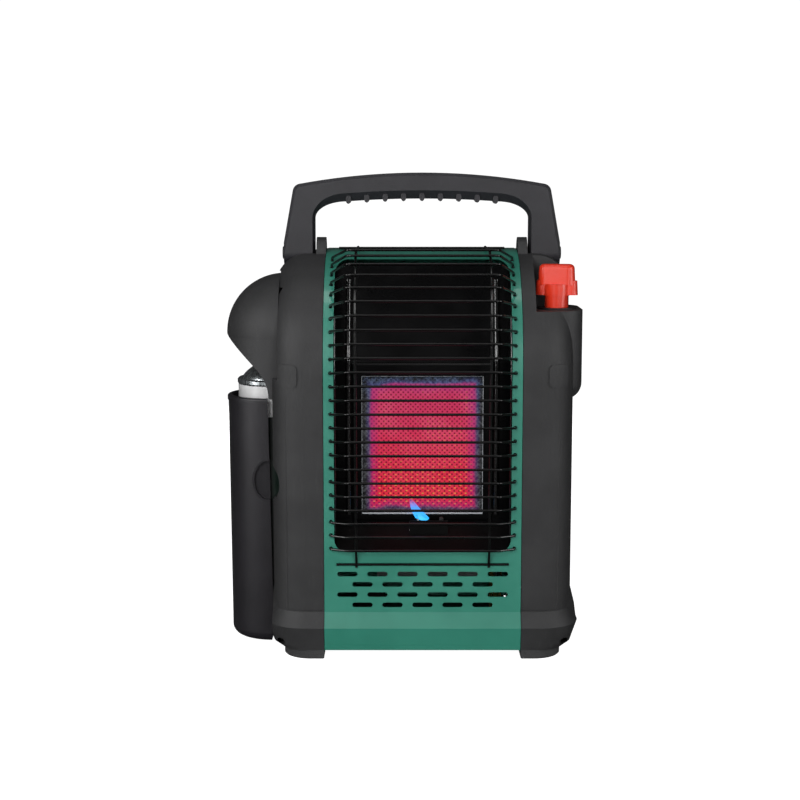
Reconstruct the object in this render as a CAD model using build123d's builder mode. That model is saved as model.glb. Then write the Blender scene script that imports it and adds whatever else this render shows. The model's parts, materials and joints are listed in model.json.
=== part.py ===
"""Portable radiant propane heater with a carrying handle, wire guard and a screw-on gas cartridge.

Units are millimetres. +X is the heater's right as seen from the front, +Y runs to its back and
+Z is up. The parts are drawn about the body's own centre line and written to a frame whose origin
lies on the floor under the middle of the whole heater's bounding box.
"""

import os
from math import atan, cos, degrees, hypot, pi, radians, sin, sqrt

from build123d import *

os.makedirs("parts", exist_ok=True)


# ---------------------------------------------------------------- driving dimensions
# Body: a sheet-metal core between two moulded end caps
core_half_width = 91.5
cap_width = 48.5
cap_gap = 0.5
body_half_width = core_half_width + cap_gap + cap_width
body_half_depth = 98.0
can_seam_z = 255.0
can_neck_z = can_seam_z + 17.0
can_tip_z = can_neck_z + 9.0
hood_centre_z = can_tip_z + 16.7
core_top_z = hood_centre_z + 80.3
cap_drop = 0.5
cap_top_z = core_top_z - cap_drop
front_bend_radius = 110.0
rear_bend_radius = 60.0
front_bend_z = core_top_z - front_bend_radius
rear_bend_z = core_top_z - rear_bend_radius
crown_y = -body_half_depth + front_bend_radius
cap_corner_radius = 31.0
cap_corner = min(cap_corner_radius, cap_width - 1.0)
cap_wall = 2.5
sheet = 0.9
plate = 1.0
floor_z = 8.5
seam_back = 8.0
seam_y = crown_y + seam_back
lap = 0.3
far = 600.0
wall_bite = 5.0

# Belt: the raised ridge round the base, with a taller flare on the caps' sides
belt_mid_z = 31.0
belt_high_z = 45.0
belt_reach = 7.0
belt_foot_reach = 1.0
belt_heel_z = 12.5
belt_heel_side = 0.3
belt_heel_end = 2.1
belt_tuck = 8.5
flare_mid_z = 45.0
flare_mid_reach = 5.0
flare_high_z = 64.0
flare_front_inset = 4.0

# Window in the front panel, its air slots and its wire guard
window_side_band = 9.5
window_half_width = core_half_width - window_side_band
window_low_z = 102.0
window_top_band = 8.0
window_high_z = core_top_z - window_top_band
window_corner = 12.0
slot_length = 19.0
slot_width = 4.5
slot_pitch = 28.0
slot_row_pitch = 9.8
slot_rows = 4
slots_in_row = 6
slot_drop = 20.7
slot_top_z = window_low_z - slot_drop
wire_radius = 1.2
wire_hole_radius = 1.8
wire_pitch = 12.6
wire_rise = 3.8
wire_first_z = window_low_z + wire_rise
wire_last_turn = 67.5
wire_skin_length = front_bend_z - wire_first_z + front_bend_radius * radians(wire_last_turn)
wire_count = int(wire_skin_length / wire_pitch) + 1
wire_edge = 6.5
wire_hole_x = core_half_width - wire_edge
wire_flare = 15.0
wire_run_x = wire_hole_x - wire_flare
wire_tail = 3.5
wire_lead = 3.2
wire_foot_bend = 1.6
wire_run_bend = 6.0
guard_low_reach = 10.5
guard_face_reach = 22.8
run_low_y = -body_half_depth - guard_low_reach
run_face_y = -body_half_depth - guard_face_reach
run_bend_drop = 55.0
run_bend_z = core_top_z - run_bend_drop
run_bend_radius = 60.0
run_bend_turn = 75.0
wire_weld = 0.25
upright_inset = 8.5
upright_x = wire_run_x - upright_inset
rod_end = 5.0
rod_half = wire_hole_x - rod_end
rod_drop = 15.0
rod_low_z = wire_first_z - rod_drop
rod_setback = 8.0
rod_tip = 3.0
rod_high_y = crown_y - rod_setback
upright_top_path = ((62.0, 2.6), (40.0, 2.4), (24.0, 2.0))

# Burner: a perforated tile in a tray, behind a frame on the hearth plate
hearth_setback = 32.0
hearth_y = -body_half_depth + hearth_setback
hearth_side = 9.0
hearth_half_width = core_half_width - hearth_side
tile_half_width = 60.0
tile_rise = 26.0
tile_low_z = window_low_z + tile_rise
tile_height = 138.0
tile_high_z = tile_low_z + tile_height
tile_mid_z = (tile_low_z + tile_high_z) / 2
tile_thickness = 13.0
tile_inset = 4.0
tile_face_y = hearth_y + tile_inset
tile_back_y = tile_face_y + tile_thickness
frame_side = 6.0
frame_lap = 3.0
frame_half_width = tile_half_width + frame_side
frame_window_half = tile_half_width - frame_lap
frame_low_z = tile_low_z - 4.0
frame_high_z = tile_high_z + 9.0
frame_window_low_z = tile_low_z + 3.2
frame_window_high_z = tile_high_z - 2.7
frame_thickness = 2.5
frame_chamfer = 1.2
tray_depth = 31.0
tray_wall = 1.0
tray_side = 5.0
tray_back_y = tile_back_y + tray_depth
gasket_thickness = 6.0
hood_run = 32.0
hood_lip_length = 12.0
lip_skirt = 14.0
shield_gap = 28.0
shield_y = tray_back_y + shield_gap

# Mixing tube and gas jet
mixing_y = tile_back_y + 15.0
mixing_z = tile_low_z - 52.0
mixing_radius = 13.0
mixing_wall = 1.5
mixing_length = 50.0
mixing_mouth = 9.0
riser_x = -30.0
riser_radius = 12.0
jet_x = core_half_width - 19.5
jet_z = mixing_z - 6.0
jet_gap = 16.0

# Gas cartridge and its bay in the left end cap
can_x = -body_half_width - 3.0
can_y = -body_half_depth + 78.0
can_radius = 33.0
can_wall = 0.8
can_low_z = 24.0
can_tip_radius = 5.5
bay_radius = can_radius + 4.0
bay_floor_z = floor_z + cap_wall

# Cartridge door: half a tube, hinged at the back
door_radius = bay_radius + 5.8
door_draft = 1.5
door_wall = 3.0
door_rim = 0.8
door_rim_height = 5.0
door_heel = 9.0
door_low_z = 5.0
door_high_z = can_seam_z - 14.0
door_top_edge_x = can_x - 1.8
door_low_edge_x = can_x + 1.6
door_foot_edge_x = can_x - 0.9
door_turn_z = 20.0
door_side_x = can_x + 2.0
door_head_gap = 0.6
door_hinge_x = can_x - 1.7
door_hinge_y = can_y + 48.5
hinge_pin_radius = 1.5
knuckle_radius = 3.6
knuckle_low_z = 45.0
knuckle_length = 20.0
knuckle_step = 25.0
finger_x = can_x - 2.5
finger_z = 163.0
finger_half_width = 12.7
finger_half_height = 18.5
finger_depth = 26.0
cup_reach = 38.0

# Regulator and the domed hood over it
regulator_z = can_tip_z + 15.0
outlet_z = regulator_z + 10.0
outlet_x = can_x + 15.5
outlet_y = can_y + 30.0
outlet_radius = 5.5
regulator_radius = 21.0
regulator_rim_radius = 24.0
hood_x = -body_half_width + 6.0
hood_reach = 52.0
hood_crown_offset = 7.5
hood_crown_swell = 1.2
hood_crown_radius = hood_reach + hood_crown_offset
hood_wall = 2.5
hood_low_z = door_high_z + door_head_gap
hood_room_front = 8.0
hood_room_back_y = can_y + 66.0
hood_seam_low_z = can_seam_z + 7.0
hood_seam_high_z = hood_centre_z + hood_crown_radius + 1.3
bay_top_z = hood_centre_z + 47.0

# Handle
pivot_y = 0.0
pivot_z = cap_top_z - 2.5
pivot_radius = 3.0
running_gap = 0.05
ear_width = 9.0
ear_radius = 15.0
ear_root_z = pivot_z - 25.0
ear_clearance = 1.5
handle_leg_inner = core_half_width + cap_gap + ear_width + ear_clearance
handle_leg_width = 30.0
handle_leg_outer = handle_leg_inner + handle_leg_width
handle_top_z = pivot_z + 76.5
handle_corner_drop = 11.6
handle_corner_inset = 10.0
handle_corner_radius = 8.0
handle_half_depth = 12.0
handle_edge = 3.0
handle_side_rise = 10.0
grip_thickness = 24.8
handle_under_z = handle_top_z - grip_thickness
grip_arch = 2.7
loop_corner_width = 30.5
loop_corner_height = 16.0
loop_bevel_side = 2.3
loop_bevel_rise = 8.0
loop_bevel_depth = 7.0
grip_ridges = 9
grip_ridge_pitch = 17.6
grip_ridge_half_width = 2.6
grip_ridge_half_height = 4.2
grip_ridge_rise = 1.9
grip_ridge_half_length = 9.5
pin_head_radius = 6.0
pin_head_height = 1.3
pin_reach = 0.3
pocket_z = pivot_z - 17.5
pocket_front_y = pivot_y - handle_half_depth - 0.8

# Control knob, valve and igniter
knob_x = body_half_width - 14.0
knob_y = -body_half_depth + 54.0
igniter_y = knob_y + 36.0
shelf_z = cap_top_z - 53.0
notch_x = knob_x - 22.0
notch_back_y = knob_y + 25.0
valve_box_half_width = knob_x + 23.5
valve_box_low_z = shelf_z - 84.5
valve_box_front_y = knob_y - 32.0
valve_box_back_y = igniter_y + 16.0
valve_box_corner = 22.0
valve_box_heel = 16.0
knob_stem_radius = 11.0
knob_collar_radius = 12.4
knob_flange_length = 40.0
knob_flange_width = 12.0
knob_flange_height = 13.5
knob_collar_low_z = shelf_z + 12.5
knob_collar_high_z = knob_collar_low_z + 11.0
knob_top_z = knob_collar_high_z + 18.5
knob_wing_length = 35.0
knob_wing_width = 15.0
knob_wing_edge = 4.5
knob_wing_turn = -12.0
knob_travel = 4.0
spindle_radius = 4.0
plug_radius = 6.0
end_float = 0.1
valve_size = 30.0
valve_high_z = shelf_z - 22.5
valve_low_z = valve_high_z - 44.0
valve_mid_z = (valve_low_z + valve_high_z) / 2
plug_low_z = valve_low_z + 8.0
spindle_low_z = plug_low_z + 6.5
spindle_high_z = knob_collar_high_z + 4.0
yoke_z = shelf_z - 13.5
yoke_thickness = 3.0
yoke_width = 15.0
knob_foot_z = yoke_z + yoke_thickness + end_float
igniter_radius = 8.0
plunger_radius = 3.0

# Pipework
pipe_radius = 3.0
pipe_wall = 1.0
pilot_pipe_radius = 1.5
pipe_room = 0.6
pipe_bend = 9.0

# Pilot group
pilot_x = 9.0
pilot_y = hearth_y - 6.0
pilot_z = tile_low_z - 20.0
pilot_pipe_z = window_low_z - 18.0

# Feet and corner screws
foot_inner_x = core_half_width + cap_gap
foot_outer_x = body_half_width - 10.0
foot_outer_y = body_half_depth + belt_foot_reach
foot_depth = 34.0
foot_outer_corner = 26.0
foot_chamfer = 1.0
screw_x = body_half_width - 7.5
screw_z = floor_z + 6.1
screw_head_radius = 3.6
screw_depth = 24.0

# Origin: under the middle of the whole heater
left_reach = hood_reach - hood_x
right_reach = valve_box_half_width
front_reach = -run_face_y + wire_radius
rear_reach = body_half_depth + belt_reach
frame_shift = ((left_reach - right_reach) / 2, (front_reach - rear_reach) / 2, 0.0)

written = []


def save(part, name):
    """Shifts one sub-part to the heater's frame, labels it and writes parts/name.step."""
    shifted = part.moved(Location(frame_shift))
    shifted.label = name
    export_step(shifted, f"parts/{name}.step")
    written.append(name)


# ---------------------------------------------------------------- shared outlines
def body_section(plane, inset, top_z, low_z):
    """Closed side view of the body on a YZ plane, drawn in by inset from its outer skin."""
    edge_y = body_half_depth - inset
    front_radius = top_z - front_bend_z - inset
    rear_radius = top_z - rear_bend_z - inset
    with BuildSketch(plane) as section:
        with BuildLine():
            Line((-edge_y, low_z), (-edge_y, front_bend_z))
            CenterArc((-edge_y + front_radius, front_bend_z), front_radius, 90, 90)
            Line((-edge_y + front_radius, top_z - inset), (edge_y - rear_radius, top_z - inset))
            CenterArc((edge_y - rear_radius, rear_bend_z), rear_radius, 0, 90)
            Line((edge_y, rear_bend_z), (edge_y, low_z))
            Line((edge_y, low_z), (-edge_y, low_z))
        make_face()
    return section.sketch


def belt_section(plane, inset, low_z):
    """Side view of the belt on a YZ plane: six corners, front and rear alike."""
    skin_y = body_half_depth - inset
    with BuildSketch(plane) as section:
        with BuildLine():
            Polyline(
                (-skin_y, belt_high_z),
                (-skin_y - belt_reach, belt_mid_z),
                (-skin_y - belt_foot_reach, low_z),
                (skin_y + belt_foot_reach, low_z),
                (skin_y + belt_reach, belt_mid_z),
                (skin_y, belt_high_z),
                close=True,
            )
        make_face()
    return section.sketch


def cap_plan(z, side_reach, end_reach, inner_x):
    """Plan of an end cap at height z, a reach outside its side and its ends, on the +X side."""
    outer_x = body_half_width + side_reach
    outer_y = body_half_depth + end_reach
    radius = cap_corner + side_reach
    with BuildSketch(Plane.XY.offset(z)) as plan:
        with BuildLine():
            Line((inner_x, -outer_y), (outer_x - radius, -outer_y))
            CenterArc((outer_x - radius, -outer_y + radius), radius, 270, 90)
            Line((outer_x, -outer_y + radius), (outer_x, outer_y - radius))
            CenterArc((outer_x - radius, outer_y - radius), radius, 0, 90)
            Line((outer_x - radius, outer_y), (inner_x, outer_y))
            Line((inner_x, outer_y), (inner_x, -outer_y))
        make_face()
    return plan.sketch


def cap_form(inset, with_belt=True):
    """An end cap as one solid on the +X side, drawn in by inset, with its belt and flare."""
    inner_x = core_half_width + cap_gap - (plate if inset > 0 else 0.0)
    low_z = floor_z + max(inset, 0.0)
    outline = body_section(Plane.YZ.offset(inner_x), inset, cap_top_z, low_z)
    belt_levels = [
        (low_z, -belt_tuck, belt_foot_reach),
        (belt_heel_z, belt_heel_side, belt_heel_end),
        (belt_mid_z, belt_reach, belt_reach),
        (belt_high_z, 0.0, 0.0),
    ]
    flare_levels = [
        (belt_mid_z, belt_reach, -flare_front_inset),
        (flare_mid_z, flare_mid_reach, -flare_front_inset),
        (flare_high_z, 0.0, -flare_front_inset),
    ]
    with BuildPart() as form:
        extrude(outline, amount=body_half_width - inset - inner_x)
        outer_face = form.faces().sort_by(Axis.X)[-1]
        rim = outer_face.edges().filter_by(lambda edge: edge.center().Z > low_z + plate)
        fillet(rim, radius=cap_corner - inset)
        if with_belt:
            add(block((0.0, -far, -far), (far, far, belt_heel_z)), mode=Mode.SUBTRACT)
            for levels in (belt_levels, flare_levels):
                for step in zip(levels[:-1], levels[1:]):
                    plans = [
                        cap_plan(z, side_reach - inset, end_reach - inset, inner_x)
                        for z, side_reach, end_reach in step
                    ]
                    loft(plans, ruled=True)
    return form.part


def block(low, high):
    """A plain block between two opposite corners."""
    centre = tuple((low[i] + high[i]) / 2 for i in range(3))
    with BuildPart() as solid:
        with Locations(centre):
            Box(high[0] - low[0], high[1] - low[1], high[2] - low[2])
    return solid.part


def upright_cylinder(x, y, low_z, high_z, radius):
    """A vertical cylinder between two heights."""
    with BuildPart() as solid:
        with BuildSketch(Plane.XY.offset(low_z)):
            with Locations((x, y)):
                Circle(radius)
        extrude(amount=high_z - low_z)
    return solid.part


def tube_along(points, bend, radius, bore=0.0):
    """A round tube that follows straight runs joined by tangent bends."""
    with BuildPart() as tube:
        with BuildLine() as path:
            FilletPolyline(*points, radius=bend)
        with BuildSketch(Plane(origin=path.line @ 0, z_dir=path.line % 0)):
            Circle(radius)
            if bore:
                Circle(bore, mode=Mode.SUBTRACT)
        sweep(path=path.line)
    return tube.part


def capsule(points, radius):
    """A pipe's clearance: the same route, solid and wider."""
    return tube_along(points, pipe_bend, radius + pipe_room)


# ---------------------------------------------------------------- pipe routes
supply_back_y = body_half_depth - 36.0
supply_right_x = core_half_width + 7.5
supply_route = [
    (outlet_x, outlet_y, outlet_z),
    (outlet_x, supply_back_y, outlet_z),
    (supply_right_x, supply_back_y, outlet_z),
    (supply_right_x, supply_back_y, valve_mid_z),
    (supply_right_x, knob_y, valve_mid_z),
    (knob_x - valve_size / 2, knob_y, valve_mid_z),
]
burner_pipe_z = jet_z - 8.0
burner_pipe_y = hearth_y - 4.0
burner_route = [
    (knob_x, knob_y, valve_low_z),
    (knob_x, knob_y, burner_pipe_z),
    (core_half_width + 6.5, burner_pipe_y, burner_pipe_z),
    (jet_x, burner_pipe_y, jet_z),
    (jet_x, mixing_y, jet_z),
]
pilot_pipe_x = core_half_width + 12.5
pilot_route = [
    (knob_x - 11.0, knob_y - 14.0, plug_low_z),
    (pilot_pipe_x, pilot_y, plug_low_z),
    (pilot_pipe_x, pilot_y, pilot_pipe_z),
    (pilot_x, pilot_y, pilot_pipe_z),
    (pilot_x, pilot_y, pilot_z + 4.0),
]

# ---------------------------------------------------------------- sheet-metal core
with BuildPart() as core_outer:
    extrude(body_section(Plane.YZ, 0.0, core_top_z, floor_z), amount=core_half_width, both=True)
    extrude(belt_section(Plane.YZ, 0.0, floor_z), amount=core_half_width, both=True)

with BuildPart() as core_inner:
    inner_half = core_half_width + plate
    under_z = floor_z - plate
    extrude(body_section(Plane.YZ, sheet, core_top_z, under_z), amount=inner_half, both=True)
    extrude(belt_section(Plane.YZ, sheet, under_z), amount=inner_half, both=True)


def skin_point(distance):
    """Point and outward normal (y, z) on the front skin, a distance above the first wire."""
    height = wire_first_z + distance
    if height <= front_bend_z:
        return (-body_half_depth, height), (-1.0, 0.0)
    turn = (height - front_bend_z) / front_bend_radius
    y = crown_y - front_bend_radius * cos(turn)
    z = front_bend_z + front_bend_radius * sin(turn)
    return (y, z), (-cos(turn), sin(turn))


def run_point(share):
    """Point (y, z) on the guard's face; share runs 0..1 from the first wire to the last."""
    rise = run_bend_z - wire_first_z
    arc = run_bend_radius * radians(run_bend_turn)
    distance = share * (rise + arc)
    if distance <= rise:
        lean = distance / rise
        return run_low_y + (run_face_y - run_low_y) * sin(lean * pi / 2), wire_first_z + distance
    turn = (distance - rise) / run_bend_radius
    centre_y = run_face_y + run_bend_radius
    return centre_y - run_bend_radius * cos(turn), run_bend_z + run_bend_radius * sin(turn)


with BuildPart() as front_panel:
    add(core_outer.part)
    add(core_inner.part, mode=Mode.SUBTRACT)
    add(block((-far, seam_y, -far), (far, far, far)), mode=Mode.SUBTRACT)
    with BuildSketch(Plane.XZ):
        with Locations((0, (window_low_z + window_high_z) / 2)):
            RectangleRounded(2 * window_half_width, window_high_z - window_low_z, window_corner)
    extrude(amount=far, mode=Mode.SUBTRACT)
    for row in range(slot_rows):
        with BuildSketch(Plane.XZ):
            with Locations((0, slot_top_z - row * slot_row_pitch)):
                with GridLocations(slot_pitch, 1, slots_in_row - row % 2, 1):
                    SlotOverall(slot_length, slot_width)
        extrude(amount=far, mode=Mode.SUBTRACT)
    for index in range(wire_count):
        (y, z), (normal_y, normal_z) = skin_point(index * wire_pitch)
        hole_plane = Plane(
            origin=(0, y - wire_tail * normal_y, z - wire_tail * normal_z),
            x_dir=(1, 0, 0),
            z_dir=(0, normal_y, normal_z),
        )
        with BuildSketch(hole_plane):
            with Locations((-wire_hole_x, 0), (wire_hole_x, 0)):
                Circle(wire_hole_radius)
        extrude(amount=2 * wire_tail, mode=Mode.SUBTRACT)
save(front_panel.part, "front_panel")

rear_slot_length = 36.0
rear_slot_width = 5.0
rear_slot_pitch = 46.0
rear_row_pitch = 12.0
rear_columns = 3
low_vent_z = 66.0
high_vent_z = core_top_z - 178.0
top_vent_y = body_half_depth - 48.0
top_vent_pitch = 13.0

with BuildPart() as rear_panel:
    add(core_outer.part)
    add(core_inner.part, mode=Mode.SUBTRACT)
    add(block((-far, -far, -far), (far, seam_y + lap, far)), mode=Mode.SUBTRACT)
    for low_z, rows in ((low_vent_z, 5), (high_vent_z, 7)):
        with BuildSketch(Plane.XZ):
            with Locations((0, low_z + (rows - 1) * rear_row_pitch / 2)):
                with GridLocations(rear_slot_pitch, rear_row_pitch, rear_columns, rows):
                    SlotOverall(rear_slot_length, rear_slot_width)
        extrude(amount=-far, mode=Mode.SUBTRACT)
    with BuildSketch(Plane.XY.offset(rear_bend_z)):
        with Locations((0, top_vent_y)):
            with GridLocations(rear_slot_pitch, top_vent_pitch, rear_columns, 2):
                SlotOverall(rear_slot_length, rear_slot_width)
    extrude(amount=far, mode=Mode.SUBTRACT)
save(rear_panel.part, "rear_panel")

with BuildPart() as base_plate:
    with BuildSketch(Plane.XY.offset(floor_z)):
        Rectangle(2 * (core_half_width - 3 * plate), 2 * (foot_outer_y - sheet))
        with GridLocations(50.0, 40.0, 3, 3):
            SlotOverall(34.0, 8.0, mode=Mode.SUBTRACT)
    extrude(amount=plate)
save(base_plate.part, "base_plate")

for name, side in (("left_side_plate", -1), ("right_side_plate", 1)):
    with BuildPart() as side_plate:
        plane = Plane.YZ.offset(side * (core_half_width - plate) - (plate if side < 0 else 0))
        extrude(body_section(plane, sheet + lap / 10, core_top_z, floor_z), amount=plate)
        add(capsule(supply_route, pipe_radius), mode=Mode.SUBTRACT)
        add(capsule(burner_route, pipe_radius), mode=Mode.SUBTRACT)
        add(capsule(pilot_route, pilot_pipe_radius), mode=Mode.SUBTRACT)
    save(side_plate.part, name)
print("core done")

# ---------------------------------------------------------------- wire guard
guard_wires = []
for index in range(wire_count):
    (hole_y, hole_z), (normal_y, normal_z) = skin_point(index * wire_pitch)
    run_y, run_z = run_point(index / (wire_count - 1))
    half_route = [
        (wire_hole_x, hole_y - wire_tail * normal_y, hole_z - wire_tail * normal_z),
        (wire_hole_x, hole_y + wire_lead * normal_y, hole_z + wire_lead * normal_z),
        (wire_run_x, run_y, run_z),
    ]
    other_half = [(-x, y, z) for x, y, z in reversed(half_route)]
    bends = [wire_foot_bend, wire_run_bend, wire_run_bend, wire_foot_bend]
    guard_wires.append(tube_along(half_route + other_half, bends, wire_radius))

behind_run = 2 * wire_radius - wire_weld
low_rod = (-body_half_depth - wire_radius, rod_low_z)
high_rod = (rod_high_y, core_top_z + wire_radius)
upright_points = [(low_rod[0], low_rod[1] - rod_tip), low_rod]
for index in range(wire_count):
    share = index / (wire_count - 1)
    run_y, run_z = run_point(share)
    next_y, next_z = run_point(share + 0.001)
    step_length = hypot(next_y - run_y, next_z - run_z)
    inward_y = (next_z - run_z) / step_length
    inward_z = (run_y - next_y) / step_length
    upright_points.append((run_y + behind_run * inward_y, run_z + behind_run * inward_z))
for back, rise in upright_top_path:
    upright_points.append((crown_y - back, core_top_z + rise))
upright_points.append(high_rod)
upright_points.append((high_rod[0] + rod_tip, high_rod[1] + rod_tip / 3))

with BuildPart() as guard:
    for x in (-upright_x, upright_x):
        with BuildLine() as upright_path:
            Spline(*[(x, y, z) for y, z in upright_points])
        with BuildSketch(Plane(origin=upright_path.line @ 0, z_dir=upright_path.line % 0)):
            Circle(wire_radius)
        sweep(path=upright_path.line)
    for y, z in (low_rod, high_rod):
        with BuildSketch(Plane.YZ.offset(-rod_half)):
            with Locations((y, z)):
                Circle(wire_radius)
        extrude(amount=2 * rod_half)
    add(guard_wires)
save(guard.part, "guard")
print("guard", [round(s.volume, 1) for s in guard.solids()])

# ---------------------------------------------------------------- hearth: reflector and burner
hood_foot = (hearth_y, frame_high_z + 1.0)
hood_head = (hearth_y + hood_run, window_high_z - 6.0)
hood_tip = (hood_head[0] + hood_lip_length, hood_head[1] + 1.0)
tile_seat = 0.5

with BuildPart() as hearth_plate:
    with BuildSketch(Plane.XZ.offset(-hearth_y - plate)):
        with Locations((0, (frame_low_z + hood_foot[1]) / 2)):
            Rectangle(2 * hearth_half_width, hood_foot[1] - frame_low_z)
        with Locations((0, tile_mid_z)):
            Rectangle(
                2 * (tile_half_width + tile_seat),
                tile_height + 2 * tile_seat,
                mode=Mode.SUBTRACT,
            )
    extrude(amount=plate)
save(hearth_plate.part, "hearth_plate")

frame_foot_z = frame_low_z + 1.5
with BuildPart() as burner_frame:
    with BuildSketch(Plane.XZ.offset(-hearth_y)):
        with Locations((0, (frame_foot_z + frame_high_z) / 2)):
            Rectangle(2 * frame_half_width, frame_high_z - frame_foot_z)
        with Locations((0, (frame_window_low_z + frame_window_high_z) / 2)):
            Rectangle(
                2 * frame_window_half,
                frame_window_high_z - frame_window_low_z,
                mode=Mode.SUBTRACT,
            )
    extrude(amount=frame_thickness)
    front_rim = burner_frame.faces().sort_by(Axis.Y)[0].outer_wire().edges()
    chamfer(front_rim, length=frame_chamfer)
save(burner_frame.part, "burner_frame")

with BuildPart() as reflector_hood:
    with BuildSketch(Plane.YZ.offset(-hearth_half_width)):
        with BuildLine():
            Polyline(
                hood_foot,
                hood_head,
                hood_tip,
                (hood_tip[0], hood_tip[1] - plate),
                (hood_head[0] + plate, hood_head[1] - plate),
                (hood_foot[0] + plate, hood_foot[1]),
                close=True,
            )
        make_face()
    extrude(amount=2 * hearth_half_width)
save(reflector_hood.part, "reflector_hood")

pilot_left_x = pilot_x - 21.0
pilot_right_x = pilot_x + 15.0
pilot_front_y = pilot_y - 7.0
pilot_top_z = pilot_z + 20.0
lip_front = (-body_half_depth + sheet + lap, window_low_z + 1.5)
lip_foot_z = lip_front[1] - lip_skirt
with BuildPart() as reflector_lip:
    with BuildSketch(Plane.YZ.offset(-hearth_half_width)):
        with BuildLine():
            Polyline(
                (lip_front[0], lip_foot_z),
                lip_front,
                (hearth_y, frame_low_z),
                (hearth_y, frame_low_z - plate),
                (lip_front[0] + plate, lip_front[1] - plate),
                (lip_front[0] + plate, lip_foot_z),
                close=True,
            )
        make_face()
    extrude(amount=2 * hearth_half_width)
    pilot_slot = block(
        (pilot_left_x, pilot_front_y, lip_foot_z),
        (pilot_right_x, hearth_y + plate, pilot_top_z),
    )
    add(pilot_slot, mode=Mode.SUBTRACT)
save(reflector_lip.part, "reflector_lip")

for name, side in (("reflector_left", -1), ("reflector_right", 1)):
    with BuildPart() as reflector_side:
        plane = Plane.YZ.offset(side * hearth_half_width - (plate if side < 0 else 0))
        with BuildSketch(plane):
            with BuildLine():
                Polyline(
                    (-body_half_depth, lip_foot_z),
                    (-body_half_depth, core_top_z),
                    (hood_tip[0], core_top_z),
                    (hood_tip[0], hood_tip[1] - 2 * plate),
                    (hood_head[0], hood_head[1] - 4 * plate),
                    (hearth_y + 4 * plate, hood_foot[1]),
                    (hearth_y + 4 * plate, lip_foot_z),
                    close=True,
                )
            make_face()
        extrude(amount=plate)
        side_limit = body_section(plane, sheet + lap, core_top_z, floor_z)
        extrude(side_limit, amount=plate, mode=Mode.INTERSECT)
    save(reflector_side.part, name)

with BuildPart() as ceramic_tile:
    with BuildSketch(Plane.XZ.offset(-tile_back_y)):
        with Locations((0, tile_mid_z)):
            Rectangle(2 * tile_half_width, tile_height)
    extrude(amount=tile_thickness)
save(ceramic_tile.part, "ceramic_tile")

tray_half_width = tile_half_width + tray_side
tray_low_z = tile_low_z - tray_side
tray_height = tile_height + 2 * tray_side
riser_bore = riser_radius - mixing_wall
with BuildPart() as burner_tray:
    with BuildSketch(Plane.XZ.offset(-tray_back_y)):
        with Locations((0, tile_mid_z)):
            Rectangle(2 * tray_half_width, tray_height)
    extrude(amount=tray_back_y - hearth_y - plate)
    with BuildSketch(Plane.XZ.offset(-tray_back_y + tray_wall)):
        with Locations((0, tile_mid_z)):
            Rectangle(2 * (tray_half_width - tray_wall), tray_height - 2 * tray_wall)
    extrude(amount=tray_back_y - hearth_y, mode=Mode.SUBTRACT)
    riser_port = upright_cylinder(riser_x, mixing_y, tray_low_z - plate, tile_low_z, riser_bore)
    add(riser_port, mode=Mode.SUBTRACT)
save(burner_tray.part, "burner_tray")

with BuildPart() as tile_gasket:
    with BuildSketch(Plane.XZ.offset(-tile_back_y + tray_wall)):
        with Locations((0, tile_mid_z)):
            Rectangle(2 * (tray_half_width - tray_wall), tray_height - 2 * tray_wall)
            Rectangle(2 * tile_half_width, tile_height, mode=Mode.SUBTRACT)
    extrude(amount=gasket_thickness)
save(tile_gasket.part, "tile_gasket")

mixing_end_x = riser_x + mixing_length
mixing_mouth_x = jet_x - jet_gap


def mixing_form(inset):
    """The mixing tube's round outline along X with its tapered mouth, drawn in by inset."""
    with BuildPart() as form:
        with BuildSketch(Plane.YZ.offset(riser_x - mixing_radius + inset)):
            with Locations((mixing_y, mixing_z)):
                Circle(mixing_radius - inset)
        extrude(amount=mixing_length + mixing_radius - inset)
        with BuildSketch(Plane.YZ.offset(mixing_end_x)):
            with Locations((mixing_y, mixing_z)):
                Circle(mixing_radius - inset)
        with BuildSketch(Plane.YZ.offset(mixing_mouth_x)):
            with Locations((mixing_y, jet_z)):
                Circle(mixing_mouth - inset)
        loft()
    return form.part


with BuildPart() as mixing_tube:
    add(mixing_form(0.0))
    add(upright_cylinder(riser_x, mixing_y, mixing_z, tray_low_z, riser_radius))
    add(mixing_form(mixing_wall), mode=Mode.SUBTRACT)
    riser_hole = upright_cylinder(riser_x, mixing_y, mixing_z, tile_low_z, riser_bore)
    add(riser_hole, mode=Mode.SUBTRACT)
save(mixing_tube.part, "mixing_tube")

shield_low_z = tile_low_z - 28.0
shield_high_z = core_top_z - 38.0
shield_half_width = core_half_width - plate
shield_flange = 18.0
shield_flange_rise = 12.0
with BuildPart() as heat_shield:
    with BuildSketch(Plane.XZ.offset(-shield_y)):
        with Locations((0, (shield_low_z + shield_high_z) / 2)):
            Rectangle(2 * shield_half_width, shield_high_z - shield_low_z)
    extrude(amount=plate)
    with BuildSketch(Plane.YZ.offset(-shield_half_width)):
        with BuildLine():
            Polyline(
                (shield_y, shield_high_z),
                (shield_y - shield_flange, shield_high_z + shield_flange_rise),
                (shield_y - shield_flange, shield_high_z + shield_flange_rise - plate),
                (shield_y, shield_high_z - plate),
                close=True,
            )
        make_face()
    extrude(amount=2 * shield_half_width)
save(heat_shield.part, "heat_shield")
print("hearth done")

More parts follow.
